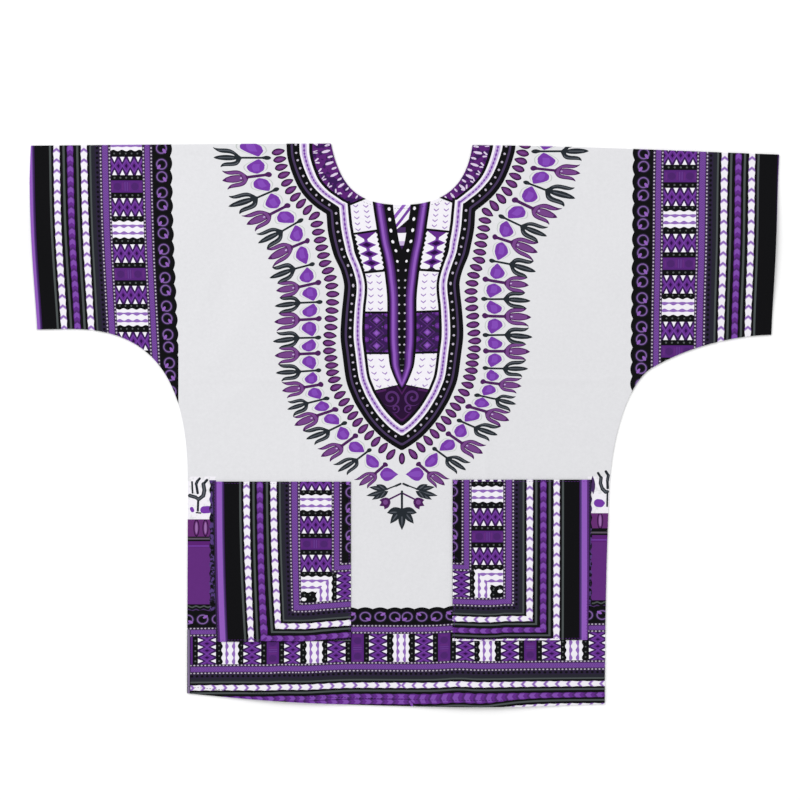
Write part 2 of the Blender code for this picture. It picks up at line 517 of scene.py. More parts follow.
# Where the border lies on each part of the shirt.
shoulderLine = 391.0
ringPlace = {  # where the rings start, which way their buds point, and how far every other one is set off
    "left": (21.5, 1.0, 1.2),
    "right": (10.05, 1.0, 1.2),
    "left_pocket": (0.0, 1.0, 1.2),
    "right_pocket": (0.0, 1.0, 1.2),
    "hem": (-8.5, -1.0, 0.0),
}
sleeveBorder = {
    "left": {
        "edge": -524.2, "out": 1.0, "start": -1.0, "depth": 252.0, "lean": 11.4, "power": 1.5, "ease": 0.0013,
        "ladder": 15.8, "stretch": 1.0, "spread": 1.0, "phase": 3.4,
    },
    "right": {
        "edge": 524.2, "out": -1.0, "start": -9.0, "depth": 252.0, "lean": 7.2, "power": 1.0, "ease": 0.0030,
        "ladder": 1.3, "stretch": 1.047, "spread": 0.984, "phase": 0.0,
    },
}
braidPlace = border["whiteBraids"][1]


def sleevePrint(side):
    values = sleeveBorder[side]
    sheet = Print(side + "SleevePrint")
    down = (shoulderLine - sheet.y).most(0.0)
    flat = (sheet.x - values["edge"]) * values["out"]
    lean = (down / values["depth"]) ** values["power"] * values["lean"]
    across = flat - lean * (1.0 - flat * values["ease"])
    across = across.least((across - braidPlace) / values["stretch"] + braidPlace)
    inside = across.above(values["start"])
    along = down * values["spread"] - values["phase"]
    borderPrint(sheet, inside, across.most(0.01), along, down - values["ladder"], across, side)
    return sheet.finish()


pocketBorder = {  # where the inner white braid's middle runs, and where the ladder starts
    "left_pocket": {
        "upright": -183.1, "level": -279.9, "shrink": 0.88, "out": 1.0, "spotSize": (3.6, 2.5),
        "rows": (-108.4, -98.1, 0.93), "stretch": 0.985, "phase": -1.7, "spot": (-140.6, -243.5),
        "braidSlip": (1.0, -3.2), "footSlip": -4.8,
        "lean": ((-10, 4.9), (5, 4.9), (37, 7.2), (56, 5.6), (76, 8.0), (92, 6.6), (113, 3.2), (150, 0.0)),
        "slope": ((-174, -1.2), (-146, -1.2), (-112, 1.0), (-78, 3.6)),
    },
    "right_pocket": {
        "upright": 175.3, "level": -271.5, "shrink": 0.82, "out": -1.0, "spotSize": (3.6, 2.5),
        "rows": (-96.7, -94.8, 0.95), "stretch": 0.98, "phase": -2.8, "spot": (133.8, -232.3),
        "braidSlip": (3.7, -2.4), "footSlip": -2.2,
        "lean": ((-10, 0.0), (40, 0.4), (150, 0.0)),
        "slope": ((68, 1.0), (92, 0.1), (114, -0.5), (140, 0.9)),
    },
}
pocketSpread = (1.028, 0.953)  # the small repeats lie closer down the uprights and wider along the foot
pocketTopLine, pocketDepth = -77.0, 224.0
ladderSide = 209.3  # where the nest of rows starts beside the pocket's inner edge
hemBorder = {
    "level": -364.0,
    "axis": -3.5,
    "aboveShrink": 0.885,
    "belowShrink": 0.80,
    "top": -240.0,
    "shift": (               # across the shirt, then how much higher the border runs
        (-303, -4.0), (-219, -3.2), (-190, -3.0), (-167, -2.1), (-145, -2.2), (-122, -1.6), (-100, -0.7),
        (-60, 0.0), (0, -0.2), (30, 0.0), (57, 1.1), (79, 2.1), (102, 1.2), (124, 1.3), (169, 1.8),
        (214, 1.9), (281, 2.4),
    ),
    "slide": (               # across the shirt, then how far the border slides along itself
        (-279, -0.9), (-212, -0.7), (-167, -1.3), (-145, 1.6), (-100, 2.3), (-55, 0.6), (-10, 0.9), (34, 2.2),
        (79, 1.3), (102, 0.6), (146, 2.3), (169, 2.2), (214, 0.4), (258, -0.4),
    ),
    "spread": 0.953,
    "ladderStretch": 1.018,
    "braid": (60.7, 8.6),    # the upper edge and the height of the purple braid
    "extraRow": (47.2, -165.0, 12.0),
    "tall": ((8, 1.0), (18, 2.0), (100, 2.0), (134, 1.65), (162, 1.28), (200, 1.05), (230, 1.0)),
    "seam": (-299.3, -286.0, -303.2, -300.4),
}


def pocketPrint(name):
    values = pocketBorder[name]
    sheet = Print(name.replace("_pocket", "PocketPrint"))
    out = values["out"]
    flat = (sheet.x - values["upright"]) * out + braidPlace
    fall = ((pocketTopLine - sheet.y) / pocketDepth).most(0.0)
    upright = flat - flat.profile(values["lean"]) * fall * fall
    upright = upright.least((upright - braidPlace) / values["stretch"] + braidPlace)
    level = (sheet.y - sheet.x.profile(values["slope"]) - values["level"]) / values["shrink"] + braidPlace
    down, wide = pocketSpread
    foot = sheet.x * (-out * wide) + values["footSlip"]
    along = (sheet.y * -down - values["phase"]).pick(foot, level.below(upright))
    # the ladder's corner is one nest of L-shaped rows
    top, side, scale = values["rows"]
    fromTop = (top - sheet.y) / scale + ladderRows["white"]
    fromSide = (side - sheet.x * out) / scale + ladderSide
    ladderAcross = level.pick(upright, fromTop.below(fromSide))
    everywhere = sheet.x.above(nowhere)
    across, ladderAlong = upright.least(level), fromTop.least(fromSide)
    borderPrint(sheet, everywhere, across, along, ladderAlong, ladderAcross, name, values["braidSlip"])
    # past the last full row the corner holds one white spot on black
    low, high = border["ladder"]
    last = border["ladderPitch"] + ladderRows["white"] + ladderRows["wavyHalf"]
    spotX, spotY = values["spot"]
    sheet.cover(across.within(low, high) * ladderAlong.above(last), "black")
    sheet.cover(ellipse(sheet.x - spotX, sheet.y - spotY, *values["spotSize"]), "white")
    return sheet.finish()


sideStrips = {  # what the body shows between each pocket and its side seam
    "left": {
        "out": -1.0, "inner": -272.2,
        "limbs": (
            (-297.1, -79.5, -296.3, -94.8, 1.3), (-286.5, -74.8, -289.6, -78.4, 1.7),
            (-289.6, -78.4, -291.3, -82.2, 2.1), (-291.3, -82.2, -289.2, -95.0, 1.8),
            (-276.3, -77.0, -281.2, -82.6, 1.9), (-281.2, -82.6, -279.8, -91.4, 2.8),
            (-279.8, -91.4, -281.4, -98.8, 2.9), (-281.4, -98.8, -288.0, -103.8, 2.7),
            (-300.2, -98.6, -292.0, -101.0, 2.6), (-292.0, -101.0, -288.0, -103.8, 2.4),
            (-288.4, -104.0, -289.0, -119.6, 1.6), (-291.0, -122.4, -285.0, -123.0, 1.0),
        ),
        "blobs": ((-280.6, -118.6, -274.2, -118.2, 5.0), (-297.6, -117.0, -296.4, -119.4, 2.6)),
        "leaves": (),
        "plum": (-155.9, -131.8), "ovals": (-290.9, -278.3), "grey": -158.9, "line": -169.1,
        "solid": -171.0, "wavy": (-262.0, -250.6),
    },
    "right": {
        "out": 1.0, "inner": 261.8,
        "limbs": (
            (270.9, -67.1, 275.0, -73.8, 1.7), (275.0, -73.8, 274.2, -81.3, 2.5),
            (274.2, -81.3, 276.8, -88.9, 2.5), (276.8, -88.9, 281.4, -93.5, 2.7),
            (281.8, -65.0, 285.2, -70.4, 1.9), (285.2, -70.4, 283.9, -78.0, 2.2),
            (283.9, -78.0, 284.3, -88.0, 1.9), (281.4, -93.5, 284.0, -93.0, 2.2),
            (284.0, -94.0, 283.5, -113.3, 1.3),
        ),
        "blobs": ((270.6, -109.0, 274.0, -109.4, 5.6), (274.0, -109.4, 277.8, -109.2, 2.6)),
        "leaves": ((263.2, -70.6, 264.2, -97.0, 3.2),),
        "plum": (-144.3, -123.2), "ovals": (273.8, 273.8), "grey": -150.3, "line": -160.5,
        "solid": -163.6, "wavy": (-256.0, -245.0),
    },
}


stripShape = {
    "top": -72.0,
    "start": 200.0,           # how far out from the middle the strips are looked for
    "stainScale": 190.0,
    "worn": 0.42,             # the white shows where the stain is above this
    "glossWide": 2.0,         # only limbs wider than this have a light middle
    "glossIn": 1.7,
    "ovals": ((4.2, 12.0, "wineDark"), (3.0, 10.2, "wine"), (1.7, 8.0, "oval")),
    "greyHalf": 1.2,
    "greyFoot": 3.6,
    "lineHalf": 0.9,
    "ripple": (11.0, 0.9),    # pitch, height
    "waves": ((3.4, 1.0, "grey"), (8.0, 0.9, "deep")),    # depth, half width, paint
    "fray": (13.0, 0.8, -77.0),
    "frayLight": 0.53,
    "frayDark": 0.44,
}


def stripPrint(sheet, side, stain):
    strip, shape = sideStrips[side], stripShape
    x, y = sheet.x, sheet.y
    here = x.below(-shape["start"]) if side == "left" else x.above(shape["start"])
    low, high = strip["plum"]
    sheet.cover(here * y.within(high, shape["top"]) * stain.above(shape["worn"]), "white")
    for row in strip["leaves"]:
        sheet.cover(leaf(x, y, *row), "deep")
    for row in strip["limbs"]:
        sheet.cover(limb(x, y, *row), "charcoal")
    for *ends, wide in strip["limbs"]:
        if wide > shape["glossWide"]:
            sheet.cover(limb(x, y, *ends, wide - shape["glossIn"]), "slateLight")
    for row in strip["blobs"]:
        sheet.cover(limb(x, y, *row), "blob")
    sheet.cover(here * y.below(high), "wine")
    near = x.nearest(strip["ovals"])
    for wide, tall, name in shape["ovals"]:
        sheet.cover(here * y.within(low, high) * ellipse(near, y - (low + high) / 2, wide, tall), name)
    grey = strip["grey"]
    sheet.cover(here * y.below(low), "black")
    sheet.cover(here * y.near(grey, shape["greyHalf"]), "ash")
    sheet.cover(here * y.below(grey - shape["greyFoot"]), "side")
    sheet.cover(here * y.within(strip["solid"], grey - shape["greyFoot"]), "yoke")
    sheet.cover(here * y.near(strip["line"], shape["lineHalf"]), "lace")
    low, high = strip["wavy"]
    sheet.cover(here * y.below(high), "black")
    pitch, tall = shape["ripple"]
    ripple = x.wave(pitch) * tall
    for deep, half, name in shape["waves"]:
        sheet.cover(here * (y + ripple).near(high - deep, half), name)
    sheet.cover(here * y.below(low), "cotton")
    pitch, reach, top = shape["fray"]
    frayed = ((x - strip["inner"]) * strip["out"]).below(y.wave(pitch) * reach) * y.within(low, top)
    sheet.cover(here * frayed, "night")
    sheet.cover(here * frayed * stain.above(shape["frayLight"]), "lightEdge")
    sheet.cover(here * frayed * stain.below(shape["frayDark"]), "black")


def hemPrint():
    sheet = Print("hemPrint")
    values = hemBorder
    stain = sheet.speckle(stripShape["stainScale"])
    stripPrint(sheet, "left", stain)
    stripPrint(sheet, "right", stain)
    rise = sheet.y - values["level"] - sheet.x.profile(values["shift"])
    across = rise.most(0.0) / values["aboveShrink"] + rise.least(0.0) / values["belowShrink"] + braidPlace
    # to the right of the middle the purple braid swells to twice its height
    top, height = values["braid"]
    tall = sheet.x.profile(values["tall"])
    across = across.most((across - top) / tall + top).least(across + (tall - 1.0) * height)
    out = abs(sheet.x + sheet.x.profile(values["slide"]) - values["axis"])
    along = out * values["spread"]
    ladderAlong = out * values["ladderStretch"] + ladderRows["white"]
    inside = sheet.y.below(values["top"])
    borderPrint(sheet, inside, across, along, ladderAlong, across, "hem")
    # to the left of it the braid has a second row
    place, low, high = values["extraRow"]
    sheet.cover(inside * sheet.x.below(high) * across.below(place - border["braidHalf"]), "black")
    braidRow(sheet, inside * sheet.x.within(low, high), abs(across - place), along, False)
    seamX, seamY, low, high = values["seam"]
    inSeam = sheet.x.below(seamX) * sheet.y.below(seamY)
    sheet.cover(inSeam, "black")
    sheet.cover(inSeam * sheet.x.within(low, high), "seamLine")
    return sheet.finish()


# The neck panel.
# out is millimetres out from the middle of the neck, down is millimetres below the shoulder line.
neckPanel = {
    "axis": -3.5,
    "top": 394.2,
    "collar": (                     # out, down
        (161.6, 0), (160.6, 17), (157, 31.8), (151.2, 48), (143.2, 64.4), (132.8, 77.8), (120, 89.4),
        (105, 99.4),
    ),
    "body": (
        (105.6, 99.4), (103.2, 126), (95.6, 156), (86.1, 177), (81.2, 196), (81.4, 209), (84.5, 240),
        (86, 270), (83, 297), (78, 332), (70, 354), (63, 368), (48.5, 390), (30.5, 409.5), (14.5, 421.5),
        (0, 430),
    ),
    "innerEdge": 32.9,
    "collarWide": (0.85, 0.37),     # the collar's white stripe against the body's, and its gain higher up
    "bandStretch": (                # along the body's band, then how much wider it runs
        (0, 1.04), (27, 1.07), (50, 1.04), (76, 0.93), (113, 0.99), (128, 0.98), (170, 1.03), (222, 1.02),
        (300, 1.0),
    ),
    "bandDots": (                   # along the body's band, then the dot that sits there
        (-5.8, 0.55), (0, 1), (41.1, 4), (67.2, 6), (104.4, 9), (128, 11), (162.8, 14), (203.4, 17),
        (233.7, 20), (270.5, 23), (657.5, 53),
    ),
    "bandDot": (13.0, 12.9, 1.7),   # depth, pitch, radius
    "bandDash": (23.4, 7.1),        # depth, pitch
    "dashLine": (0.4, 1.0),         # how far the line swells at each dash, and its least half width
    "dashSize": (1.0, 2.3),
}
bandStripes = (  # millimetres in from the panel's outline
    (0.0, 32.9, "black"),
    (5.8, 8.9, "bandLine"),
    (18.0, 29.3, "white"),
    (20.4, 26.4, "lilac"),
)
rightShift = (  # down, then how much higher the print's right half runs than its left, and how much nearer
    (0, 9.3, 2.0), (50, 8.0, 2.7), (75, 6.6, 2.8), (97, 5.0, 3.2), (122, 5.2, 2.6), (141, 5.1, 2.1),
    (157, 5.0, 0.5), (170, 4.8, -0.5), (187, 4.6, 0.1), (211, 4.4, 0.3), (240, 4.1, 0.1), (300, 3.0, 0.1),
    (340, 4.2, 0.2), (358, 5.2, 0.2), (376, 5.2, 0.2), (425, 4.8, 0.1), (460, 2.4, 0), (500, 0, 0),
    (560, 0, 0),
)
farRise = ((30, 0.0), (60, 3.2), (130, 4.4), (180, 5.2), (240, 3.4), (300, 3.6), (400, 4.8))
farNear = (  # the far right runs higher by farRise, and nearer by farNear, on top of that
    (30, 0.0), (60, -1.5), (100, -2.4), (142, -4.8), (184, -2.2), (226, -3.2), (268, -3.2), (310, -0.4),
    (352, 1.2), (430, 0.0),
)
rightReach, farStart, farReach, farMost = 115, 125, 75, 1.4  # how far out the shifts set in
ovals = (
    (173, 12), (170.7, 22.5), (169.1, 33.1), (165.1, 44.1), (160.7, 55.1), (155.7, 65.1), (149.1, 75.1),
    (141.3, 84.1), (132.1, 93.1), (120.7, 101.1), (118.8, 113.1), (117, 124), (114.1, 135.1), (112.2, 146.1),
    (109.4, 157), (108.0, 168), (102.9, 178), (99.8, 188.7), (98, 199.5), (96.2, 211.2), (97, 222.5),
    (97.4, 234.2), (99.4, 245.5), (98.7, 257.2), (100.7, 269), (101.9, 279.7), (101.6, 290.1), (99, 300.9),
    (98, 310.9), (97.4, 320.7), (94.2, 330.4), (92.7, 341), (86.7, 352.1), (80.6, 362), (75, 371.7),
    (68.6, 380.5), (62, 390), (54.3, 399.1), (45.6, 408.1), (36.7, 417), (26.3, 426.1), (15.3, 435.1),
)
stems = (  # one flower a row: the bud's tip, the foot of the cup and the tip of the middle prong
    (182.7, 20.4, 225.7, 20.2, 261.7, 20.1),
    (181.7, 43.1, 215.6, 47.4, 249.6, 52),
    (171.6, 62.7, 202.7, 76.1, 240.7, 88),
    (156.2, 85.1, 183.7, 99.1, 215.6, 113.1),
    (137.6, 105.7, 167.7, 123, 199.6, 139.1),
    (128.7, 135.1, 152.6, 145, 185.6, 161.1),
    (121.5, 168.2, 149.4, 175.7, 183.3, 188.1),
    (112.4, 193.9, 142.9, 201, 174.2, 206.3),
    (110.5, 221.9, 142.2, 223.4, 176.1, 227.7),
    (111.7, 245.2, 142.2, 247.2, 176.7, 249.9),
    (112.4, 271.7, 143.5, 272.5, 178.6, 277.2),
    (113, 293.5, 142.2, 294.9, 176.1, 297.2),
    (112.4, 317.3, 141.7, 319.3, 174.7, 321.3),
    (109.6, 336.7, 135.4, 341.2, 166, 346.2),
    (101.1, 355.8, 131.7, 363.4, 158.9, 371.9),
    (88.9, 371, 117.5, 380.5, 148.8, 394.1),
    (76.7, 389.7, 101.8, 401.9, 132.4, 413.4),
    (61.7, 406.9, 83.2, 422.6, 111.7, 437.6),
    (42.7, 427.1, 62.5, 442, 88.2, 458.5),
    (20.7, 447.1, 36.7, 461.1, 58.7, 478.1),
)
cupFoot, prongTip = 32.0, 65.6  # where a flower's cup begins and ends, counted from its bud
placket = (  # down, then half the printed placket's width
    (70, 42.4), (87.8, 40.3), (114, 36.3), (138, 32.6), (155.7, 28.4), (173, 25.3), (190.7, 23.2),
    (208, 21.3), (226, 20.5), (262, 20.6), (280, 20.2), (295, 18.9), (309, 17.3), (319, 14.3), (329, 10.3),
    (338, 5.8), (345, 0.0),
)
placketBand = (  # millimetres in from the placket's edge
    (3.4, 15.4, "violet"),
    (4.6, 13.9, "stripeEdge"),
    (5.4, 12.7, "stripe"),
    (5.9, 11.5, "lace"),
    (6.7, 10.1, "light"),
)
placketDots = (  # down, out
    (91.8, 18.0), (106.6, 17.1), (122.2, 15.4), (137.8, 12.8), (150.3, 8.4), (165.2, 6.4), (177.9, 5.3),
    (191.9, 4.6), (202.1, 4.1), (213.0, 4.0), (225.7, 4.0), (237.7, 4.0), (248.9, 4.0), (259.9, 3.9),
    (270.8, 3.7), (281.7, 3.3), (292.6, 2.8), (301.9, 2.6), (310.2, 1.4), (318.1, 0.0),
)
notchEdge = ((76, 12.6), (91, 12.0), (106, 9.7), (119, 7.2), (130, 5.4), (141, 3.2), (149, 0.0))
sideEdge = (
    (80, 72.6), (88, 70.9), (123, 67.4), (138, 63.9), (156, 59.5), (173, 54.7), (191, 50.6), (208, 48.8),
    (234, 49.9), (295, 50.7), (320, 45.6), (344, 37.4),
)


def neckPrint():
    sheet = Print("neckPanelPrint")
    side, down, _ = sheet.attribute("panel")
    out = abs(side)
    run, deep, _ = sheet.attribute("band")
    fringe(sheet)
    finial(sheet, out, down)
    for low, high, name in bandStripes:
        sheet.cover(deep.within(low, high), name)
    depth, pitch, radius = neckPanel["bandDot"]
    sheet.cover(disc(deep - depth, run.wrap(pitch), radius), "dot")
    depth, pitch = neckPanel["bandDash"]
    swell, half = neckPanel["dashLine"]
    sheet.cover(abs(deep - depth).below(run.wave(pitch) * swell + half), "braid")
    sheet.cover(ellipse(deep - depth, run.wrap(pitch), *neckPanel["dashSize"]), "lace")
    inner = deep.above(neckPanel["innerEdge"])
    sheet.cover(inner, "white")
    panels(sheet, inner, out, down)
    heart(sheet, inner, out, down, deep)
    printedPlacket(sheet, inner, side, out, down)
    yoke(sheet, inner, out, down, run, deep)
    return sheet.finish()


tickMarks = {  # small slanted marks in two columns down the white panels
    "panels": (84, 345),
    "rows": ((88.2, 7.35), (87.8, 8.3), (185.8, 9.25), (303.4, 9.2)),    # first one's place, pitch
    "upperEnd": 150.0,
    "lowerStart": 250.0,
    "columns": (0.565, 0.235),    # share of the panel's width, and how far the columns lie off it
    "slant": 0.75,
    "drop": 1.2,
    "size": (0.95, 3.6),
}
diamondPanel = {
    "slant": (35.0, 0.146, 0.10),     # both edges turn about this place, by the top's slope and the foot's
    "top": (122.0, 1.55),             # place, and half the black line there
    "foot": (179.0, 1.7),
    "middle": 0.55,
    "bead": (142.0, 12.8),            # first one's place, pitch
    "ends": (175.3, 136.3, 9.0),      # below and above these the beads shrink, by so much a millimetre
    "spine": 2.4,
    "beads": ((13.2, 5.9, "lace"), (10.6, 4.4, "mid"), (6.4, 3.4, "core")),
    "tips": (135.7, 1.4, 174.1, 1.6),    # the top one's point and slope, then the foot's
    "rim": (1.9, 137.6, 6.45, 0.8),      # half width, then the first tooth's place, pitch and slope
}
lacePanel = {
    "between": (237.0, 293.0),
    "lines": ((236.7, 1.55), (293.6, 1.55)),
    "stain": (170.0, 0.46),           # scale, and how much of it is darker
    "diamonds": (247.6, 256.6, 17.9),    # the first one's place, the first gap's, and the pitch
    "outline": (11.0, 9.4, 0.84, 1.02),
    "cores": ((5.6, 5.2, "lace"), (3.4, 3.2, "light")),
    "blob": (14.8, 4.6, 3.8),
    "dots": ((14.2, 1.7), (8.0, 1.1)),
}


def panels(sheet, inner, out, down):
    # four stacked panels each side of the placket
    start = down.profile(placket)
    span = (down.profile(sideEdge) - start).most(1.0)
    share = (out - start) / span
    marks = tickMarks
    middle, apart = marks["columns"]
    first, second, third, fourth = [(down - place).wrap(pitch) for place, pitch in marks["rows"]]
    upper = first.pick(second, share.above(middle))
    lower = third.pick(fourth, down.above(marks["lowerStart"]))
    column = abs((abs(share - middle) - apart) * span)
    tick = upper.pick(lower, down.above(marks["upperEnd"])) + column * marks["slant"] - marks["drop"]
    half, reach = marks["size"]
    sheet.cover(inner * down.within(*marks["panels"]) * abs(tick).below(half) * column.below(reach), "mark")

    shape = diamondPanel
    level, topSlope, footSlope = shape["slant"]
    top = down - (out - level) * topSlope
    foot = down - (out - level) * footSlope
    diamonds = inner * top.above(shape["top"][0]) * foot.below(shape["foot"][0])
    off = abs(share - shape["middle"]) * span
    place, pitch = shape["bead"]
    low, high, steep = shape["ends"]
    bead = abs((down - place).wrap(pitch)) + (down - low).most(0.0) * steep + (high - down).most(0.0) * steep
    sheet.cover(diamonds, "white")
    sheet.cover(diamonds * off.below(shape["spine"]), "lace")
    for wide, tall, name in shape["beads"]:
        sheet.cover(diamonds * (off / wide + bead / tall).below(1.0), name)
    topTip, topSteep, footTip, footSteep = shape["tips"]
    sheet.cover(diamonds * off.below((topTip - down) * topSteep), "mid")
    sheet.cover(diamonds * off.below((down - footTip) * footSteep), "night")
    wide, place, pitch, steep = shape["rim"]
    rim = (0.5 - abs(share - 0.5)) * span
    sheet.cover(diamonds * rim.below(wide - abs((down - place).wrap(pitch)) * steep), "black")

    shape = lacePanel
    lace = inner * down.within(*shape["between"])
    across = abs(share - 0.5) * span
    place, gap, pitch = shape["diamonds"]
    centre, between = (down - place).wrap(pitch), (down - gap).wrap(pitch)
    scale, limit = shape["stain"]
    wide, tall, low, high = shape["outline"]
    sheet.cover(lace, "violet")
    sheet.cover(lace * sheet.speckle(scale).below(limit), "night")
    sheet.cover(lace * (across / wide + abs(centre) / tall).within(low, high), "stripeEdge")
    for wide, tall, name in shape["cores"]:
        sheet.cover(lace * (across / wide + abs(centre) / tall).below(1.0), name)
    place, wide, tall = shape["blob"]
    sheet.cover(lace * ellipse(across - place, between, wide, tall), "mid")
    for place, radius in shape["dots"]:
        sheet.cover(lace * disc(across - place, between, radius), "lace")
    joints = [(top, diamondPanel["top"]), (foot, diamondPanel["foot"])]
    joints += [(down, line) for line in shape["lines"]]
    for height, line in joints:
        sheet.cover(inner * height.near(*line), "black")


placketShape = {
    "top": 70.0,
    "point": (295.0, 0.009),          # below here the band draws in, by so much a millimetre
    "dotEnds": ((80.0, -0.8), (332.0, 20.2)),
    "dotSizes": ((140.0, 2.0), (180.0, 1.4)),
    "dotStretch": 12.0,
    "dotted": (86.0, 322.0),
    "whiteDots": 170.0,
    "greyDots": (16.5, 18.5),
    "slant": (0.782, 0.623),
    "slantStripes": ((56.3, 2.2, "light"), (65.9, 1.9, "lace")),
    "fold": (0.82, 114.3, 125.5),
    "foldLight": (5.2, 117.6),
    "tip": ((137.0, "lilac"), (143.0, "violet")),
}


def printedPlacket(sheet, inner, side, out, down):
    # a black outline, a purple band and dotted black, with a striped notch on top
    shape = placketShape
    start = down.profile(placket)
    place, steep = shape["point"]
    deep = (start - out) * ((down - place).most(0.0) * steep + 1.0)
    inPlacket = inner * deep.above(0.0) * down.above(shape["top"])
    sheet.cover(inPlacket, "black")
    for low, high, name in placketBand:
        sheet.cover(inPlacket * deep.within(low, high), name)
    first, last = shape["dotEnds"]
    numbers = [(row[0], index) for index, row in enumerate(placketDots)]
    number = down.profile([first] + numbers + [last])
    spot = down.profile(placketDots)
    large = down.profile(shape["dotSizes"])
    dots = inPlacket * squared(out - spot, number.wrap(1.0) * shape["dotStretch"]).below(large * large)
    dots = dots * down.within(*shape["dotted"])
    sheet.cover(dots, "dot")
    sheet.cover(dots * down.below(shape["whiteDots"]), "white")
    sheet.cover(dots * number.within(*shape["greyDots"]), "grey")
    notch = inPlacket * out.below(down.profile(notchEdge))
    sheet.cover(notch, "white")
    slant = side * shape["slant"][0] + down * shape["slant"][1]
    for place, half, name in shape["slantStripes"]:
        sheet.cover(notch * slant.near(place, half), name)
    slope, top, foot = shape["fold"]
    under = notch * (side * slope + down).above(top) * down.below(foot)
    inside, top = shape["foldLight"]
    sheet.cover(under, "black")
    sheet.cover(under * side.below(inside) * down.above(top), "deep")
    for top, name in shape["tip"]:
        sheet.cover(notch * down.above(top), name)


heartShape = {
    "top": (0.235, 336.4),            # slope and place of the top edge
    "edge": 1.6,
    "sideLine": (35.0, 37.0, 378.0),
    "topLine": (4.8, 22.0),
    "notch": (1.55, 348.5, 352.0),
    "coils": (                        # out, down, gap between turns, start, reach, half width
        (15.3, 356.3, 8.2, 6.3, 12.0, 1.6),
        (9.5, 371.1, 5.6, 2.4, 6.4, 1.1),
    ),
}


def heart(sheet, inner, out, down, deep):
    shape = heartShape
    slope, place = shape["top"]
    top = out * slope + place
    inHeart = inner * down.above(top)
    sheet.cover(inHeart, "wineDark")
    near, far, start = shape["sideLine"]
    sheet.cover(inHeart * deep.within(near, far) * down.above(start), "plum")
    wide, start = shape["topLine"]
    sheet.cover(inHeart * (down - top).below(wide) * out.above(start), "plum")
    slope, low, high = shape["notch"]
    sheet.cover(inHeart * (out * slope + down).within(low, high) * down.below(high), "plum")
    # plain coiled tendrils, a large pair over a small pair
    for middleOut, middleDown, gap, start, reach, half in shape["coils"]:
        dx = out - middleOut
        dy = down - middleDown
        away = squared(dx, dy).join("SQRT")
        turn = dy.join("ARCTAN2", dx) / (2 * math.pi)
        coil = abs((away + turn * gap - start).wrap(gap))
        sheet.cover(inHeart * away.below(reach) * coil.below(half), "coil")
    sheet.cover(inHeart * (down - top).below(shape["edge"]), "black")


yokeRows = {
    "foot": (51.7, 0.415, 76.9),      # the lower edge: a place out, the slope, and how far down it is there
    "start": 46.0,
    "sizes": ((0, 1.0), (45, 0.94), (64, 0.80), (100, 0.64)),    # along the neck, then how large a petal is
    "stain": (150.0, 0.47),
    "petalPitch": 16.4,
    "long": (9.1, 1.8, 6.2, 9.2),     # first one's place, half width, half length, depth from the neck edge
    "short": (17.6, 1.5, 3.9, 5.4),
    "tickPitch": 19.8,
    "tick": (1.9, 35.2, 3.9, 38.2, 1.35),
    "lines": (1.6, 50.0, 33.2),       # half the foot's line, where it starts, and how deep the side's runs
}


def yoke(sheet, inner, out, down, run, deep):
    neckRun, neckDeep, _ = sheet.attribute("neck")
    place, slope, height = yokeRows["foot"]
    line = (out - place) * slope + height
    inYoke = inner * (down - line).below(0.0) * out.above(yokeRows["start"])
    size = neckRun.profile(yokeRows["sizes"])
    scale, limit = yokeRows["stain"]
    sheet.cover(inYoke, "yoke")
    sheet.cover(inYoke * sheet.speckle(scale).below(limit), "violet")
    for name in ("long", "short"):
        first, half, reach, depth = yokeRows[name]
        petal = (neckRun - first).wrap(yokeRows["petalPitch"]) / (size * half)
        sheet.cover(inYoke * squared(petal, (neckDeep - size * depth) / (size * reach)).below(1.0), "petal")
    sheet.cover(inYoke * limb(abs(run.wrap(yokeRows["tickPitch"])), deep, *yokeRows["tick"]), "petal")
    half, start, depth = yokeRows["lines"]
    sheet.cover(inner * (down - line).near(0.0, half) * out.above(start), "black")
    sheet.cover(inner * deep.below(depth), "black")


# The fringe: ovals, then flowers on stems with drops between them.
# A profile is a place along the flower, counted from its bud's tip, then half the width there.
ovalLayers = ((4.8, 9.5, "wineDark"), (3.2, 7.6, "wine"), (1.3, 5.4, "plumFill"))    # half width, half length
ovalTaper, ovalPower = -0.02, 1.5
flower = {
    "cup": (
        (31.0, 1.2), (33.0, 3.4), (35.0, 5.8), (38.0, 8.6), (42.0, 10.6), (47.0, 11.4), (52.0, 11.5),
        (56.0, 11.6), (60.0, 12.0), (63.0, 13.2),
    ),
    "slit": (
        (38.6, 0.0), (39.4, 3.4), (42.0, 4.8), (47.0, 5.8), (52.0, 6.1), (57.0, 7.2), (61.0, 9.8),
        (62.5, 11.6),
    ),
    "prong": ((37.0, 1.4), (42.0, 3.0), (50.0, 3.6), (58.0, 3.0), (64.0, 1.7), (67.5, 0.0)),
    "petal": ((37.0, 2.4), (42.0, 4.4), (50.0, 5.2), (58.0, 4.2), (64.0, 2.2), (67.5, 0.0)),
    "bud": ((0.0, 0.0), (2.4, 3.2), (4.8, 3.8), (7.5, 2.8), (11.0, 1.4)),
    "darkBud": 0.3,                   # how much slimmer a charcoal flower's bud is
    "cupEnd": 62.8,
    "stem": (5.0, 33.0, 1.4, 0.6),    # from, to, half width, and what a plum stem has more
    "rim": (2.2, 0.7, 37.0, 58.0),    # the light line inside a charcoal cup: depth, half width, from, to
    "vein": (0.6, 41.0, 61.0),
    "lining": (1.3, 1.1, 39.0, 34.5, 58.0),    # depth in the rim, gap to the slit, foot, from, to
    "petalLining": (1.4, 40.0, 62.0),
    "eye": (1.5, 41.5, 1.5),
}
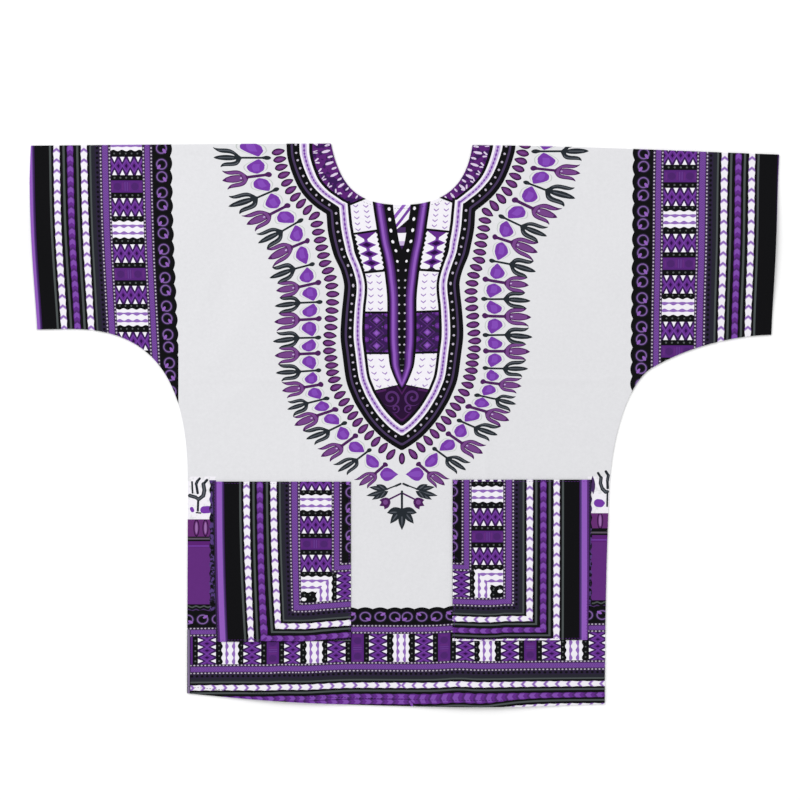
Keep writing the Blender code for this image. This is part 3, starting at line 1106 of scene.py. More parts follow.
drop = {
    "half": (
        (-0.76, 0.0), (-0.6, 5.4), (-0.3, 9.8), (0.0, 10.5), (0.3, 8.6), (0.55, 5.2), (0.74, 2.4),
        (0.85, 0.0),
    ),
    "place": (18.5, 6.0),             # how far along the stems, and how much the point is drawn back
    "halo": (1.2, 0.6, 2.0, -0.82, 0.7),    # a faint line round it: swell, then from and to, twice
    "light": (0.42, -0.5, 0.3),
}


def fringe(sheet):
    number, past, pitch = sheet.attribute("ovals")
    across = abs(number - number.join("ROUND")) * pitch
    inRow = number.within(-0.5, len(ovals) - 0.5)
    half = past * ovalTaper + 1.0
    for wide, long, name in ovalLayers:
        away = past / long
        sheet.cover(inRow * ((across / (half * wide)) ** ovalPower + away * away).below(1.0), name)

    order, way, wide = sheet.attribute("fringe")
    step = order.join("ROUND")
    side = abs(order - step) * wide
    dark = abs(step.join("MODULO", 2.0))  # every other flower is charcoal
    light = 1.0 - dark
    inRow = order.within(0.5, len(stems) + 0.5) * way.above(-0.5)
    cup = way.profile(flower["cup"])
    slit = way.profile(flower["slit"])
    prong = way.profile(flower["petal"]).pick(way.profile(flower["prong"]), dark)
    opened = way.above(flower["slit"][0][0]) * side.below(slit)
    inCup = inRow * way.within(flower["cup"][0][0], flower["cupEnd"]) * side.below(cup) * (1.0 - opened)
    inProng = inRow * way.within(flower["prong"][0][0], flower["prong"][-1][0]) * side.below(prong)
    low, high, half, more = flower["stem"]
    stem = way.within(low, high) * side.below(light * more + half)
    slim = side * (dark * flower["darkBud"] + 1.0)
    bud = way.below(flower["bud"][-1][0]) * slim.below(way.profile(flower["bud"]))
    whole = inCup.most(inProng).most(inRow * stem.most(bud))
    sheet.cover(dark * whole, "charcoal")
    sheet.cover(light * whole, "plum")
    rim = cup - side
    place, half, low, high = flower["rim"]
    sheet.cover(dark * inCup * rim.near(place, half) * way.within(low, high), "slateLight")
    half, low, high = flower["vein"]
    sheet.cover(dark * inProng * side.below(half) * way.within(low, high), "slateLight")
    place, inside, foot, low, high = flower["lining"]
    lining = side.above(slit + inside).most(way.below(foot))
    sheet.cover(light * inCup * rim.above(place) * lining * way.within(low, high), "plumFill")
    place, low, high = flower["petalLining"]
    sheet.cover(light * inProng * side.below(prong - place) * way.within(low, high), "plumFill")
    wide, place, radius = flower["eye"]
    sheet.cover(light * inRow * disc(side * wide, way - place, radius), "lilac")

    # drops lean on the charcoal stems
    base = order.join("FLOOR")
    point = (1.0 - abs(base.join("MODULO", 2.0)) * 2.0) * ((order - base) * 2.0 - 1.0)
    half = point.profile(drop["half"])
    place, drawn = drop["place"]
    off = abs(way - (place - point.most(0.0) * drawn))
    inDrop = order.within(0.0, float(len(stems)))
    swell, near, far, low, high = drop["halo"]
    halo = off.within(half * swell + near, half * swell + far)
    sheet.cover(inDrop * halo * point.within(low, high), "faint")
    sheet.cover(inDrop * off.below(half), "blob")
    share, low, high = drop["light"]
    sheet.cover(inDrop * off.below(half * share) * point.within(low, high), "blobLight")


finialShape = {  # the tip's own oval, two large drops and the sprays under them
    "oval": (441.0, ((4.4, 8.2, "wineDark"), (2.6, 6.0, "wine"), (1.1, 4.2, "plumFill"))),
    "drop": (463.0, 5.0, 31.0, 9.0, 27.0, 0.45),    # down, from, to, then the light part's from, to and share
    "dropHalf": ((0.0, 0.0), (0.14, 2.4), (0.45, 8.2), (0.62, 9.4), (0.85, 6.4), (1.0, 0.0)),
    "twigs": ((5.0, 477.5, 22.0, 484.0, 1.0), (2.0, 476.2, 8.4, 479.0, 1.5)),
    "spray": (                # each leaf's foot, down, then its tip, out and down
        (486.5, 50.0, 493.0), (484.5, 46.0, 481.0), (484.5, 36.0, 477.4), (486.5, 42.0, 498.4),
        (486.5, 34.0, 496.6),
    ),
    "sprayFoot": (19.0, 3.6),
    "sprayVein": (23.0, 3.0, 0.9),
    "bloomStem": (0.0, 489.0, 17.0, 497.5, 1.2),
    "bloom": (22.5, 502.0, 6.6),
    "bloomPetals": ((31.5, 507.0), (31.5, 499.0), (24.5, 512.0)),
    "bloomFoot": (17.5, 500.0, 3.6),
    "bloomHeart": (23.0, 502.0, 3.4),
    "stem": (0.0, 487.0, 0.0, 513.0, 1.6),
    "lastLeaves": ((0.01, 541.0), (16.5, 532.0), (21.0, 517.0)),
    "lastFoot": (511.0, 5.0),
    "lastVein": (0.25, 516.0, 0.85, 1.0),
    "knot": (517.0, 7.5, 5.0),
}


def finial(sheet, out, down):
    shape = finialShape
    place, layers = shape["oval"]
    for wide, tall, name in layers:
        sheet.cover(ellipse(out, down - place, wide, tall), name)
    place, start, end, lightStart, lightEnd, share = shape["drop"]
    swell = ((out - start) / (end - start)).profile(shape["dropHalf"])
    sheet.cover(out.within(start, end) * abs(down - place).below(swell), "blob")
    sheet.cover(out.within(lightStart, lightEnd) * abs(down - place).below(swell * share), "blobLight")
    for row in shape["twigs"]:
        sheet.cover(limb(out, down, *row), "charcoal")
    foot, wide = shape["sprayFoot"]
    veinFoot, shorter, thin = shape["sprayVein"]
    for level, x, y in shape["spray"]:
        sheet.cover(leaf(out, down, foot, level, x, y, wide), "charcoal")
        sheet.cover(leaf(out, down, veinFoot, level, x - shorter, y, thin), "slateLight")
    sheet.cover(limb(out, down, *shape["bloomStem"]), "plum")
    x, y, radius = shape["bloom"]
    sheet.cover(disc(out - x, down - y, radius), "plum")
    x, y, wide = shape["bloomFoot"]
    for tip in shape["bloomPetals"]:
        sheet.cover(leaf(out, down, x, y, *tip, wide), "plum")
    x, y, radius = shape["bloomHeart"]
    sheet.cover(disc(out - x, down - y, radius), "plumFill")
    sheet.cover(limb(out, down, *shape["stem"]), "charcoal")
    foot, wide = shape["lastFoot"]
    start, low, end, thin = shape["lastVein"]
    for x, y in shape["lastLeaves"]:
        sheet.cover(leaf(out, down, 0.0, foot, x, y, wide), "charcoal")
        sheet.cover(leaf(out, down, x * start, low, x * end, foot + (y - foot) * end, thin), "slateLight")
    place, wide, tall = shape["knot"]
    sheet.cover(ellipse(out, down - place, wide, tall), "charcoal")


# Places along curves, worked out on the flat cloth.


def curveThrough(a, b, c, d, t):
    # a smooth curve from b to c, with a before them and d after
    bend = (2 * a - 5 * b + 4 * c - d) * t**2 + (3 * b - a - 3 * c + d) * t**3
    return 0.5 * (2 * b + (c - a) * t + bend)


def smoothPath(points):
    steps = placing["pathSteps"]
    points = [np.array(point, float) for point in points]
    ends = [2 * points[0] - points[1]] + points + [2 * points[-1] - points[-2]]
    path = []
    for row in zip(ends, ends[1:], ends[2:], ends[3:]):
        path += [curveThrough(*row, step / steps) for step in range(steps)]
    path.append(points[-1])
    return np.array(path)


def runs(path):
    return np.concatenate([[0.0], np.cumsum(np.linalg.norm(np.diff(path, axis=0), axis=1))])


def onPath(spots, path, openEnds=True):
    # length along the path and signed distance from it, positive on the inner side
    a, b = path[:-1], path[1:]
    step = b - a
    length = np.linalg.norm(step, axis=1)
    start = runs(path)[:-1]
    low = np.zeros(len(a))
    high = np.ones(len(a))
    if openEnds:
        low[0], high[-1] = -1e6, 1e6
    found, gaps = [], []
    for part in np.array_split(spots, max(1, len(spots) // 3000)):
        away = part[:, None, :] - a[None]
        t = np.clip((away * step).sum(2) / (length**2), low, high)
        left = away - t[:, :, None] * step
        gap = np.linalg.norm(left, axis=2)
        best = gap.argmin(1)
        row = np.arange(len(part))
        cross = step[best, 0] * away[row, best, 1] - step[best, 1] * away[row, best, 0]
        found.append(start[best] + t[row, best] * length[best])
        gaps.append(gap[row, best] * np.where(cross >= 0, 1.0, -1.0))
    return np.concatenate(found), np.concatenate(gaps)


def readOff(values, table):
    return np.interp(values, *zip(*table))


placing = {
    "pathSteps": 12,
    "stripeStart": 18.0,        # only the collar's stripes from here inwards are drawn wider
    "dotShift": 0.4,
    "collarDots": (4.4, 12.6, 0.45),    # millimetres past the collar's end, pitch, and the last number
    "ovalEase": 0.12,
    "orders": (0.0, 21.4, 0.05),        # the first search for a spot's place among the flowers
    "ways": (-10.0, 80.0, 2.0),
    "mostOrder": 0.4,                   # and how far one step of the finer search may go
    "mostWay": 20,
}


def bandPlaces(spots):
    collar = smoothPath(neckPanel["collar"])
    total = runs(collar)[-1]
    collarRun, collarDeep = onPath(spots, collar)
    bodyRun, bodyDeep = onPath(spots, smoothPath(neckPanel["body"]))
    narrow, gain = neckPanel["collarWide"]
    start = placing["stripeStart"]
    wider = narrow + gain * np.clip(1 - collarRun / total, 0, 1)
    swelled = np.where(collarDeep > start, start + (collarDeep - start) / wider, collarDeep)
    stretched = bodyDeep / readOff(bodyRun, neckPanel["bandStretch"])
    past, pitch, last = placing["collarDots"]
    bodyDot = readOff(bodyRun + placing["dotShift"], neckPanel["bandDots"])
    collarDot = np.minimum((collarRun - total + past) / pitch, last)
    onCollar = collarDeep > bodyDeep
    run = np.where(onCollar, collarDot, bodyDot) * neckPanel["bandDot"][1]
    return np.stack([run, np.where(onCollar, swelled, stretched), 0 * run], 1)


def ovalPlaces(spots):
    rows = np.array(ovals, float)
    for _ in range(2):
        rows[1:-1] += placing["ovalEase"] * (rows[:-2] - 2 * rows[1:-1] + rows[2:])
    path = smoothPath(rows)
    run, past = onPath(spots, path)
    marks = runs(path)[::placing["pathSteps"]]
    pitches = np.gradient(marks)
    number = np.interp(run, marks, np.arange(len(ovals)))
    number += np.minimum(run, 0) / pitches[0] + np.maximum(run - marks[-1], 0) / pitches[-1]
    return np.stack([number, past, np.interp(run, marks, pitches)], 1)


def stemRows():
    rows = [np.array(row, float) for row in stems]
    for _ in range(2):
        rows = [2 * rows[0] - rows[1]] + rows + [2 * rows[-1] - rows[-2]]
    return np.array(rows)  # the first real flower is row 2


def stemAt(rows, order):
    place = np.clip(order + 1.0, 1.0, len(rows) - 2.001)
    base = np.floor(place).astype(int)
    return curveThrough(*(rows[base + shift] for shift in (-1, 0, 1, 2)), (place - base)[:, None])


def flowerSpot(rows, order, way):
    # a bent line: along the stem to the foot of the cup, then to the tip of the prong
    here = stemAt(rows, order)
    bud, foot, tip = here[:, :2], here[:, 2:4], here[:, 4:]
    low = (foot - bud) / cupFoot
    high = (tip - foot) / (prongTip - cupFoot)
    onHead = (way > cupFoot)[:, None]
    spot = np.where(onHead, foot + high * (way[:, None] - cupFoot), bud + low * way[:, None])
    return spot, np.where(onHead, high, low)


def crossed(a, b):
    return a[:, 0] * b[:, 1] - a[:, 1] * b[:, 0]


def fringePlaces(spots):
    rows = stemRows()
    grid = [(order, way) for order in np.arange(*placing["orders"]) for way in np.arange(*placing["ways"])]
    grid = np.array(grid)
    places, _ = flowerSpot(rows, grid[:, 0], grid[:, 1])
    tree = KDTree(len(grid))
    for index, place in enumerate(places):
        tree.insert((place[0], place[1], 0.0), index)
    tree.balance()
    order, way = grid[[tree.find((spot[0], spot[1], 0.0))[1] for spot in spots]].T
    # then straight towards each spot, a few times
    most, mostWay = placing["mostOrder"], placing["mostWay"]
    for _ in range(4):
        spot, direction = flowerSpot(rows, order, way)
        ahead, _ = flowerSpot(rows, order + 0.01, way)
        slope = (ahead - spot) / 0.01
        miss = spots - spot
        area = crossed(slope, direction)
        area = np.where(abs(area) < 1e-3, 1e-3, area)
        order = order + np.clip(crossed(miss, direction) / area, -most, most)
        way = way + np.clip(crossed(slope, miss) / area, -mostWay, mostWay)
    scale = np.linalg.norm(direction, axis=1)
    wide = abs(area) / scale / np.where(way > cupFoot, scale, 1.0)
    return np.stack([order, way, wide], 1)


def neckPlaces(spots):
    outline = bodyOutline() * 1000
    steps = [row[4] for row in edges]
    path = outline[steps[0]:steps[0] + steps[1] + steps[2] + 1]
    run, gap = onPath(spots, path)
    return np.stack([np.minimum(run, runs(path)[-1] - run), abs(gap), 0 * run], 1)


def printPlaces(spots):
    flat = spots * 1000
    side = flat[:, 0] - neckPanel["axis"]
    down = neckPanel["top"] - flat[:, 1]
    out = abs(side)
    table = smoothPath(rightShift)
    ease = np.where(side > 0, np.minimum(out / rightReach, 1), 0)
    beyond = np.where(side > 0, np.clip((out - farStart) / farReach, 0, farMost), 0)
    lower = down + np.interp(down, table[:, 0], table[:, 1]) * ease + readOff(down, farRise) * beyond
    wider = out + np.interp(down, table[:, 0], table[:, 2]) * ease + readOff(down, farNear) * beyond
    folded = np.stack([wider, lower], 1)
    return {
        "panel": np.stack([np.sign(side) * wider, lower, 0 * side], 1),
        "band": bandPlaces(folded),
        "neck": neckPlaces(flat),
        "ovals": ovalPlaces(folded),
        "fringe": fringePlaces(folded),
    }


shirt = {  # the cut of the shirt, in metres
    "wall": 0.001,
    "frontWall": 0.0009,
    "seamGap": 0.0003,
    "leftReach": 0.5225,
    "rightReach": 0.5242,
    "shoulder": 0.3938,
    "leftCuffDrop": 0.0029,
    "rightCuffDrop": 0.0154,
    "neckX": -0.0038,
    "neckWidth": 0.1981,
    "neckDepth": 0.0858,
    "neckRightDrop": 0.0021,
    "leftCuffDepth": 0.2571,
    "rightCuffDepth": 0.2520,
    "leftCuffLean": 0.0069,
    "rightCuffLean": 0.0110,
    "coarse": 0.008,
    "fine": 0.003,
    "backCoarse": 0.012,
    "backFine": 0.006,
    "hemWidth": 0.011,
}
pocketCloth = {
    "wall": 0.0009,
    "hemWidth": 0.004,
    "hemShare": 0.6,      # how high its turned edge stands against the shirt's
    "pitch": 0.006,
    "lift": 0.0013,       # its top lies this far above the front's, and the seam gap more
}
hemForm = {  # height and width of the turned edge, the stitched groove and the worn rim
    "turned": (0.00035, 0.0015),
    "groove": (0.00022, 0.0012, 0.86),    # the last is its place across the hem
    "worn": (0.0002, 0.002),
    "rows": (0.72, 0.28),                 # how the hem's width is shared between two rows of faces
    "inside": 0.0016,
}
creaseForm = {
    "fade": 0.06,
    "wander": (0.0012, 31.0),
    "uneven": (0.75, 0.25, 17.0, 40),
    "power": 1.3,
}
foldForm = {
    "wander": (0.006, 22),
    "uneven": (0.8, 0.2, 35),
    "power": 1.2,
}
cornerPlaces = {
    "leftUnderarm": (-0.4660, 0.1347),
    "leftSideTop": (-0.3030, -0.0769),
    "leftHem": (-0.3039, -0.3751),
    "rightUnderarm": (0.3424, 0.0777),
    "rightSideTop": (0.2862, -0.0958),
    "rightHem": (0.2803, -0.3899),
}
edges = (  # from, pull out of it, pull into the end, to, steps
    ("leftCuffTop", (0.140, 0.001), (-0.140, 0.0), "neckLeft", 8),
    ("neckLeft", (0.0144, -0.0700), (-0.0532, 0.0), "neckFoot", 24),
    ("neckFoot", (0.0532, 0.0), (-0.0090, -0.0640), "neckRight", 24),
    ("neckRight", (0.150, -0.001), (-0.130, 0.0045), "rightCuffTop", 12),
    ("rightCuffTop", (-0.004, -0.084), (0.004, 0.084), "rightCuffFoot", 4),
    ("rightCuffFoot", (-0.060, -0.001), (0.045, 0.028), "rightUnderarm", 20),
    ("rightUnderarm", (-0.032, -0.024), (0.002, 0.075), "rightSideTop", 24),
    ("rightSideTop", (-0.004, -0.095), (0.0, 0.095), "rightHem", 8),
    ("rightHem", (-0.180, -0.0075), (0.190, -0.0200), "leftHem", 36),
    ("leftHem", (0.0, 0.100), (0.0, -0.100), "leftSideTop", 6),
    ("leftSideTop", (0.0, 0.140), (0.115, 0.0), "leftUnderarm", 40),
    ("leftUnderarm", (-0.016, 0.0), (0.016, 0.0), "leftCuffFoot", 2),
    ("leftCuffFoot", (-0.0035, 0.085), (-0.0050, -0.090), "leftCuffTop", 14),
)
pocketCuts = {  # outer x, inner x, top, inner bottom, outer bottom, lean
    "left_pocket": (-0.2684, -0.0749, -0.0790, -0.3016, -0.3030, 0.0053),
    "right_pocket": (0.2612, 0.0672, -0.0763, -0.3016, -0.3003, -0.0047),
}
swells = (  # x, y, reach x, reach y, rise: where the front stands off the back
    (-0.522, 0.262, 0.150, 0.112, 0.0062),
    (0.520, 0.250, 0.170, 0.110, 0.0070),
    (-0.330, 0.255, 0.120, 0.105, 0.0030),
    (0.345, 0.245, 0.110, 0.095, 0.0034),
    (-0.170, 0.150, 0.120, 0.170, 0.0042),
    (0.135, 0.120, 0.140, 0.160, 0.0036),
    (-0.020, -0.060, 0.230, 0.110, 0.0040),
    (-0.165, -0.392, 0.110, 0.130, 0.0052),
    (0.110, -0.396, 0.130, 0.110, 0.0060),
)
pressCreases = (  # across, place, start, end, height, half width
    ("x", -0.1470, -0.3950, 0.3950, 0.0012, 0.009),
    ("x", 0.1130, -0.3950, 0.3950, 0.0012, 0.009),
    ("y", 0.0640, -0.3100, 0.3100, 0.0010, 0.009),
)
softFolds = (  # x0, y0, x1, y1, half width, height, wander
    (-0.300, 0.060, -0.180, 0.200, 0.016, 0.0012, 0.5),
    (-0.315, 0.100, -0.235, 0.260, 0.012, 0.0009, 1.9),
    (-0.290, 0.010, -0.140, 0.080, 0.014, 0.0008, 3.1),
    (0.295, 0.050, 0.190, 0.180, 0.015, 0.0011, 0.9),
    (0.330, 0.090, 0.255, 0.250, 0.012, 0.0009, 2.4),
    (0.280, -0.020, 0.150, 0.050, 0.014, 0.0008, 4.0),
    (-0.250, 0.330, -0.262, 0.120, 0.018, -0.0010, 1.2),
    (0.232, 0.335, 0.224, 0.150, 0.018, -0.0009, 2.2),
    (-0.400, 0.370, -0.395, 0.170, 0.020, 0.0008, 0.2),
    (0.420, 0.360, 0.405, 0.170, 0.022, 0.0009, 3.6),
    (-0.040, -0.120, -0.055, -0.290, 0.018, 0.0008, 2.9),
    (0.035, -0.100, 0.045, -0.280, 0.016, -0.0007, 5.1),
    (-0.280, -0.120, -0.286, -0.330, 0.010, 0.0007, 1.4),
    (0.268, -0.130, 0.262, -0.340, 0.010, 0.0007, 0.3),
)


def corners():
    cut = dict(cornerPlaces)
    half = shirt["neckWidth"] / 2
    leftTop = shirt["shoulder"] - shirt["leftCuffDrop"]
    rightTop = shirt["shoulder"] - shirt["rightCuffDrop"]
    cut["leftCuffTop"] = (-shirt["leftReach"], leftTop)
    cut["leftCuffFoot"] = (-shirt["leftReach"] + shirt["leftCuffLean"], leftTop - shirt["leftCuffDepth"])
    cut["rightCuffTop"] = (shirt["rightReach"], rightTop)
    cut["rightCuffFoot"] = (shirt["rightReach"] - shirt["rightCuffLean"], rightTop - shirt["rightCuffDepth"])
    cut["neckLeft"] = (shirt["neckX"] - half, shirt["shoulder"])
    cut["neckFoot"] = (shirt["neckX"], shirt["shoulder"] - shirt["neckDepth"])
    cut["neckRight"] = (shirt["neckX"] + half, shirt["shoulder"] - shirt["neckRightDrop"])
    return cut


def edgePoints(row):
    places = corners()
    start, pullOut, pullIn, end, steps = row
    first, last = np.array(places[start]), np.array(places[end])
    second, third = first + np.array(pullOut), last + np.array(pullIn)
    t = (np.arange(steps) / steps)[:, None]
    s = 1 - t
    return first * s**3 + second * 3 * s * s * t + third * 3 * s * t * t + last * t**3


def bodyOutline():
    points = np.concatenate([edgePoints(row) for row in edges])
    return points - (points.min(0) + points.max(0)) / 2


def pocketOutline(name):
    outer, inner, top, innerFoot, outerFoot, lean = pocketCuts[name]
    return np.array([(outer, top), (inner, top), (inner, innerFoot), (outer + lean, outerFoot)])


def frontRise(x, y):
    rise = np.zeros(len(x))
    for middleX, middleY, reachX, reachY, tall in swells:
        far = ((x - middleX) / reachX) ** 2 + ((y - middleY) / reachY) ** 2
        rise += np.where(far < 1, tall * (1 - np.minimum(far, 1)) ** 2, 0)
    press = np.zeros(len(x))
    wander, turns = creaseForm["wander"]
    least, more, often, shift = creaseForm["uneven"]
    for across, place, start, end, tall, half in pressCreases:
        side, along = (x, y) if across == "x" else (y, x)
        off = abs(side - place + wander * np.sin(along * turns)) / half
        fade = np.clip(np.minimum(along - start, end - along) / creaseForm["fade"], 0, 1)
        uneven = least + more * np.sin(along * often + place * shift)
        press = np.maximum(press, tall * fade * uneven * np.clip(1 - off, 0, 1) ** creaseForm["power"])
    folds = np.zeros(len(x))
    wander, turns = foldForm["wander"]
    least, more, often = foldForm["uneven"]
    for x0, y0, x1, y1, half, tall, start in softFolds:
        length = math.hypot(x1 - x0, y1 - y0)
        ux, uy = (x1 - x0) / length, (y1 - y0) / length
        along = (x - x0) * ux + (y - y0) * uy
        off = (y - y0) * ux - (x - x0) * uy + wander * np.sin(along * turns + start)
        ends = np.clip(along / length, 0, 1)
        uneven = least + more * np.sin(along * often + start * 2)
        swell = np.sin(ends * math.pi) ** foldForm["power"] * uneven
        folds += tall * swell * np.exp(-((off / half) ** 2))
    return rise + press + folds


def frontTop(x, y):
    return 2 * shirt["wall"] + shirt["seamGap"] + frontRise(x, y)


def pocketTop(x, y):
    return frontTop(x, y) + shirt["seamGap"] + pocketCloth["lift"]


def hemRise(edge, hem):
    # the turned edge lies a little proud, with the stitches drawn down into it
    tall, width = hemForm["turned"]
    turned = tall * (1 - np.clip((edge - hem) / width, 0, 1))
    deep, width, place = hemForm["groove"]
    stitched = deep * np.exp(-(((edge - hem * place) / width) ** 2))
    deep, width = hemForm["worn"]
    return turned - stitched - deep * np.clip(1 - edge / width, 0, 1)


def rule(bm, faces, axis, places):
    # cuts faces along straight lines, halving the list so that each cut meets few faces
    if not places:
        return
    half = len(places) // 2
    place = places[half]
    normal = Vector((0.0, 0.0, 0.0))
    normal[axis] = 1.0
    # each edge and corner once, in the same order on every run
    geom = list(dict.fromkeys(vert for face in faces for vert in face.verts))
    geom += list(dict.fromkeys(edge for face in faces for edge in face.edges))
    cut = bmesh.ops.bisect_plane(bm, geom=geom + faces, dist=1e-6, plane_co=normal * place, plane_no=normal)
    parts = [item for item in cut["geom"] if isinstance(item, bmesh.types.BMFace)]
    low = [face for face in parts if face.calc_center_median()[axis] < place]
    high = [face for face in parts if face.calc_center_median()[axis] >= place]
    rule(bm, low, axis, places[:half])
    rule(bm, high, axis, places[half + 1:])


def lines(low, high, pitch, fineLow=None, fineHigh=None, fine=None):
    places = [low + pitch * step for step in range(1, int((high - low) / pitch) + 1)]
    if fine:
        places = [place for place in places if not fineLow < place < fineHigh]
        count = round((fineHigh - fineLow) / fine)
        places += [fineLow + (fineHigh - fineLow) * step / count for step in range(count + 1)]
    return sorted(place for place in places if low + 1e-4 < place < high - 1e-4)


def flatSheet(outline, hem, xLines, yLines):
    bm = bmesh.new()
    face = bm.faces.new([bm.verts.new((x, y, 0.0)) for x, y in outline])
    bm.normal_update()
    if face.normal.z < 0:
        face.normal_flip()
    for width in [hem * share for share in hemForm["rows"]] + [hemForm["inside"]]:
        bmesh.ops.inset_region(bm, faces=[face], thickness=width, use_even_offset=True)
    rule(bm, bm.faces[:], 0, xLines)
    rule(bm, bm.faces[:], 1, yLines)
    return bm


def edgeGap(spots, outline):
    closed = np.concatenate([outline, outline[:1]])
    _, gap = onPath(spots, closed, openEnds=False)
    return abs(gap)


def linkMesh(bm, name, materials):
    mesh = bpy.data.meshes.new(name)
    bm.to_mesh(mesh)
    bm.free()
    for material in materials:
        mesh.materials.append(material)
    piece = bpy.data.objects.new(name, mesh)
    bpy.context.scene.collection.objects.link(piece)
    print(name, len(mesh.polygons), "faces")
    return piece


def layOut(bm, outline, thickness):
    # a flat layout of the cloth, seen from above, with its rims laid just outside the outline
    sizes = outline.max(0) - outline.min(0)
    middle = (outline.max(0) + outline.min(0)) / 2
    span = float(max(sizes)) * 1.01
    layout = bm.loops.layers.uv.new("OFBake")
    for face in bm.faces:
        rim = abs(face.normal.z) < 0.5
        for loop in face.loops:
            x, y, _ = loop.vert.co
            shift = face.normal * thickness if rim and loop.vert.normal.z < 0 else Vector()
            loop[layout].uv = ((x + shift.x - middle[0]) / span + 0.5, (y + shift.y - middle[1]) / span + 0.5)


def clothPiece(name, outline, hem, xLines, yLines, height, thickness, region, materials, attributes=None):
    bm = flatSheet(outline, hem, xLines, yLines)
    spots = np.array([vert.co[:2] for vert in bm.verts])
    heights = height(spots[:, 0], spots[:, 1], edgeGap(spots, outline))
    for vert, z in zip(bm.verts, heights):
        vert.co.z = z
    for face in bm.faces:
        face.material_index = region(face.calc_center_median())
        face.smooth = True
    if attributes:
        for key, values in attributes(spots).items():
            layer = bm.verts.layers.float_vector.new(key)
            for vert, value in zip(bm.verts, values):
                vert[layer] = Vector(value)
    # the same sheet again, a wall's thickness lower, and a rim between the two
    lowered = bmesh.ops.extrude_face_region(bm, geom=bm.faces[:], use_keep_orig=True)["geom"]
    under = [item for item in lowered if isinstance(item, bmesh.types.BMVert)]
    bmesh.ops.translate(bm, verts=under, vec=(0, 0, -thickness))
    bmesh.ops.recalc_face_normals(bm, faces=bm.faces[:])
    for edge in bm.edges:
        edge.smooth = len(edge.link_faces) == 2 and edge.calc_face_angle(0.0) < 0.8
    layOut(bm, outline, thickness)
    return linkMesh(bm, name, materials)


sewing = {  # short raised threads along the turned edges, in metres
    "pitch": 0.0042,
    "length": 0.0030,
    "width": 0.00060,
    "rise": 0.00026,
    "hemInset": 0.0095,
    "neckInset": 0.0050,
    "pocketInset": 0.0024,
    "bodyLift": 0.0002,     # the hem stands this much above the front
    "sides": 6,
    "loops": ((-0.5, 0.3), (-0.34, 1.0), (0.34, 1.0), (0.5, 0.3)),    # share of the length, size
}


def threads(name, paths, height, colour):
    # the paths run clockwise, so that the inset lies on their right
    bm = bmesh.new()
    for points, inset in paths:
        along = runs(points)
        count = int(along[-1] / sewing["pitch"])
        at = (np.arange(count) + 0.5) * along[-1] / count
        index = np.clip(np.searchsorted(along, at, side="right") - 1, 0, len(points) - 2)
        way = (points[index + 1] - points[index]) / (along[index + 1] - along[index])[:, None]
        right = np.stack([way[:, 1], -way[:, 0]], 1)
        middle = points[index] + way * (at - along[index])[:, None] + right * inset
        top = height(middle[:, 0], middle[:, 1])
        for spot, z, ahead, aside in zip(middle, top, way, right):
            stitch(bm, spot, z, ahead, aside)
    bmesh.ops.recalc_face_normals(bm, faces=bm.faces[:])
    for face in bm.faces:
        face.smooth = True
    return linkMesh(bm, name, [Print(name + "Cotton", colour).finish()])


def stitch(bm, spot, z, ahead, aside):
    # one short thread: six-sided loops along it, narrow and low at the ends
    sides = sewing["sides"]
    loops = []
    for share, size in sewing["loops"]:
        loop = []
        for corner in range(sides):
            angle = corner * 2 * math.pi / sides
            off = aside * math.cos(angle) * sewing["width"] / 2 * size
            x, y = spot + ahead * share * sewing["length"] + off
            lift = math.sin(angle) * sewing["rise"] * size - (1 - size) * sewing["rise"]
            loop.append(bm.verts.new((x, y, z + lift)))
        loops.append(loop)
    for low, high in zip(loops, loops[1:]):
        for corner in range(sides):
            after = (corner + 1) % sides
            bm.faces.new((low[corner], low[after], high[after], high[corner]))
    bm.faces.new(loops[0][::-1])
    bm.faces.new(loops[-1])


def edgeRun(first, last):
    # the points of some neighbouring rows of the edge table, from the start of one to the end of another
    names = [row[0] for row in edges]
    starts = np.concatenate([[0], np.cumsum([row[4] for row in edges])])
    outline = bodyOutline()
    outline = np.concatenate([outline, outline[:1]])
    return outline[starts[names.index(first)]:starts[names.index(last) + 1] + 1]


regions = {  # metres: where each print takes over from plain cotton
    "leftSleeve": -0.314,
    "rightSleeve": 0.306,
    "neckOut": 0.272,
    "neckFoot": -0.152,
    "hemTop": -0.252,
    "stripTop": -0.058,
    "leftStrip": -0.262,
    "rightStrip": 0.256,
}


bodyPrints = ("plain", "leftSleeve", "rightSleeve", "neck", "hem")


def bodyRegion(place):
    strip = place.x < regions["leftStrip"] or place.x > regions["rightStrip"]
    if place.x < regions["leftSleeve"]:
        found = "leftSleeve"
    elif place.x > regions["rightSleeve"]:
        found = "rightSleeve"
    elif place.y < regions["hemTop"] or (strip and place.y < regions["stripTop"]):
        found = "hem"
    elif abs(place.x - neckPanel["axis"] / 1000) < regions["neckOut"] and place.y > regions["neckFoot"]:
        found = "neck"
    else:
        found = "plain"
    return bodyPrints.index(found)


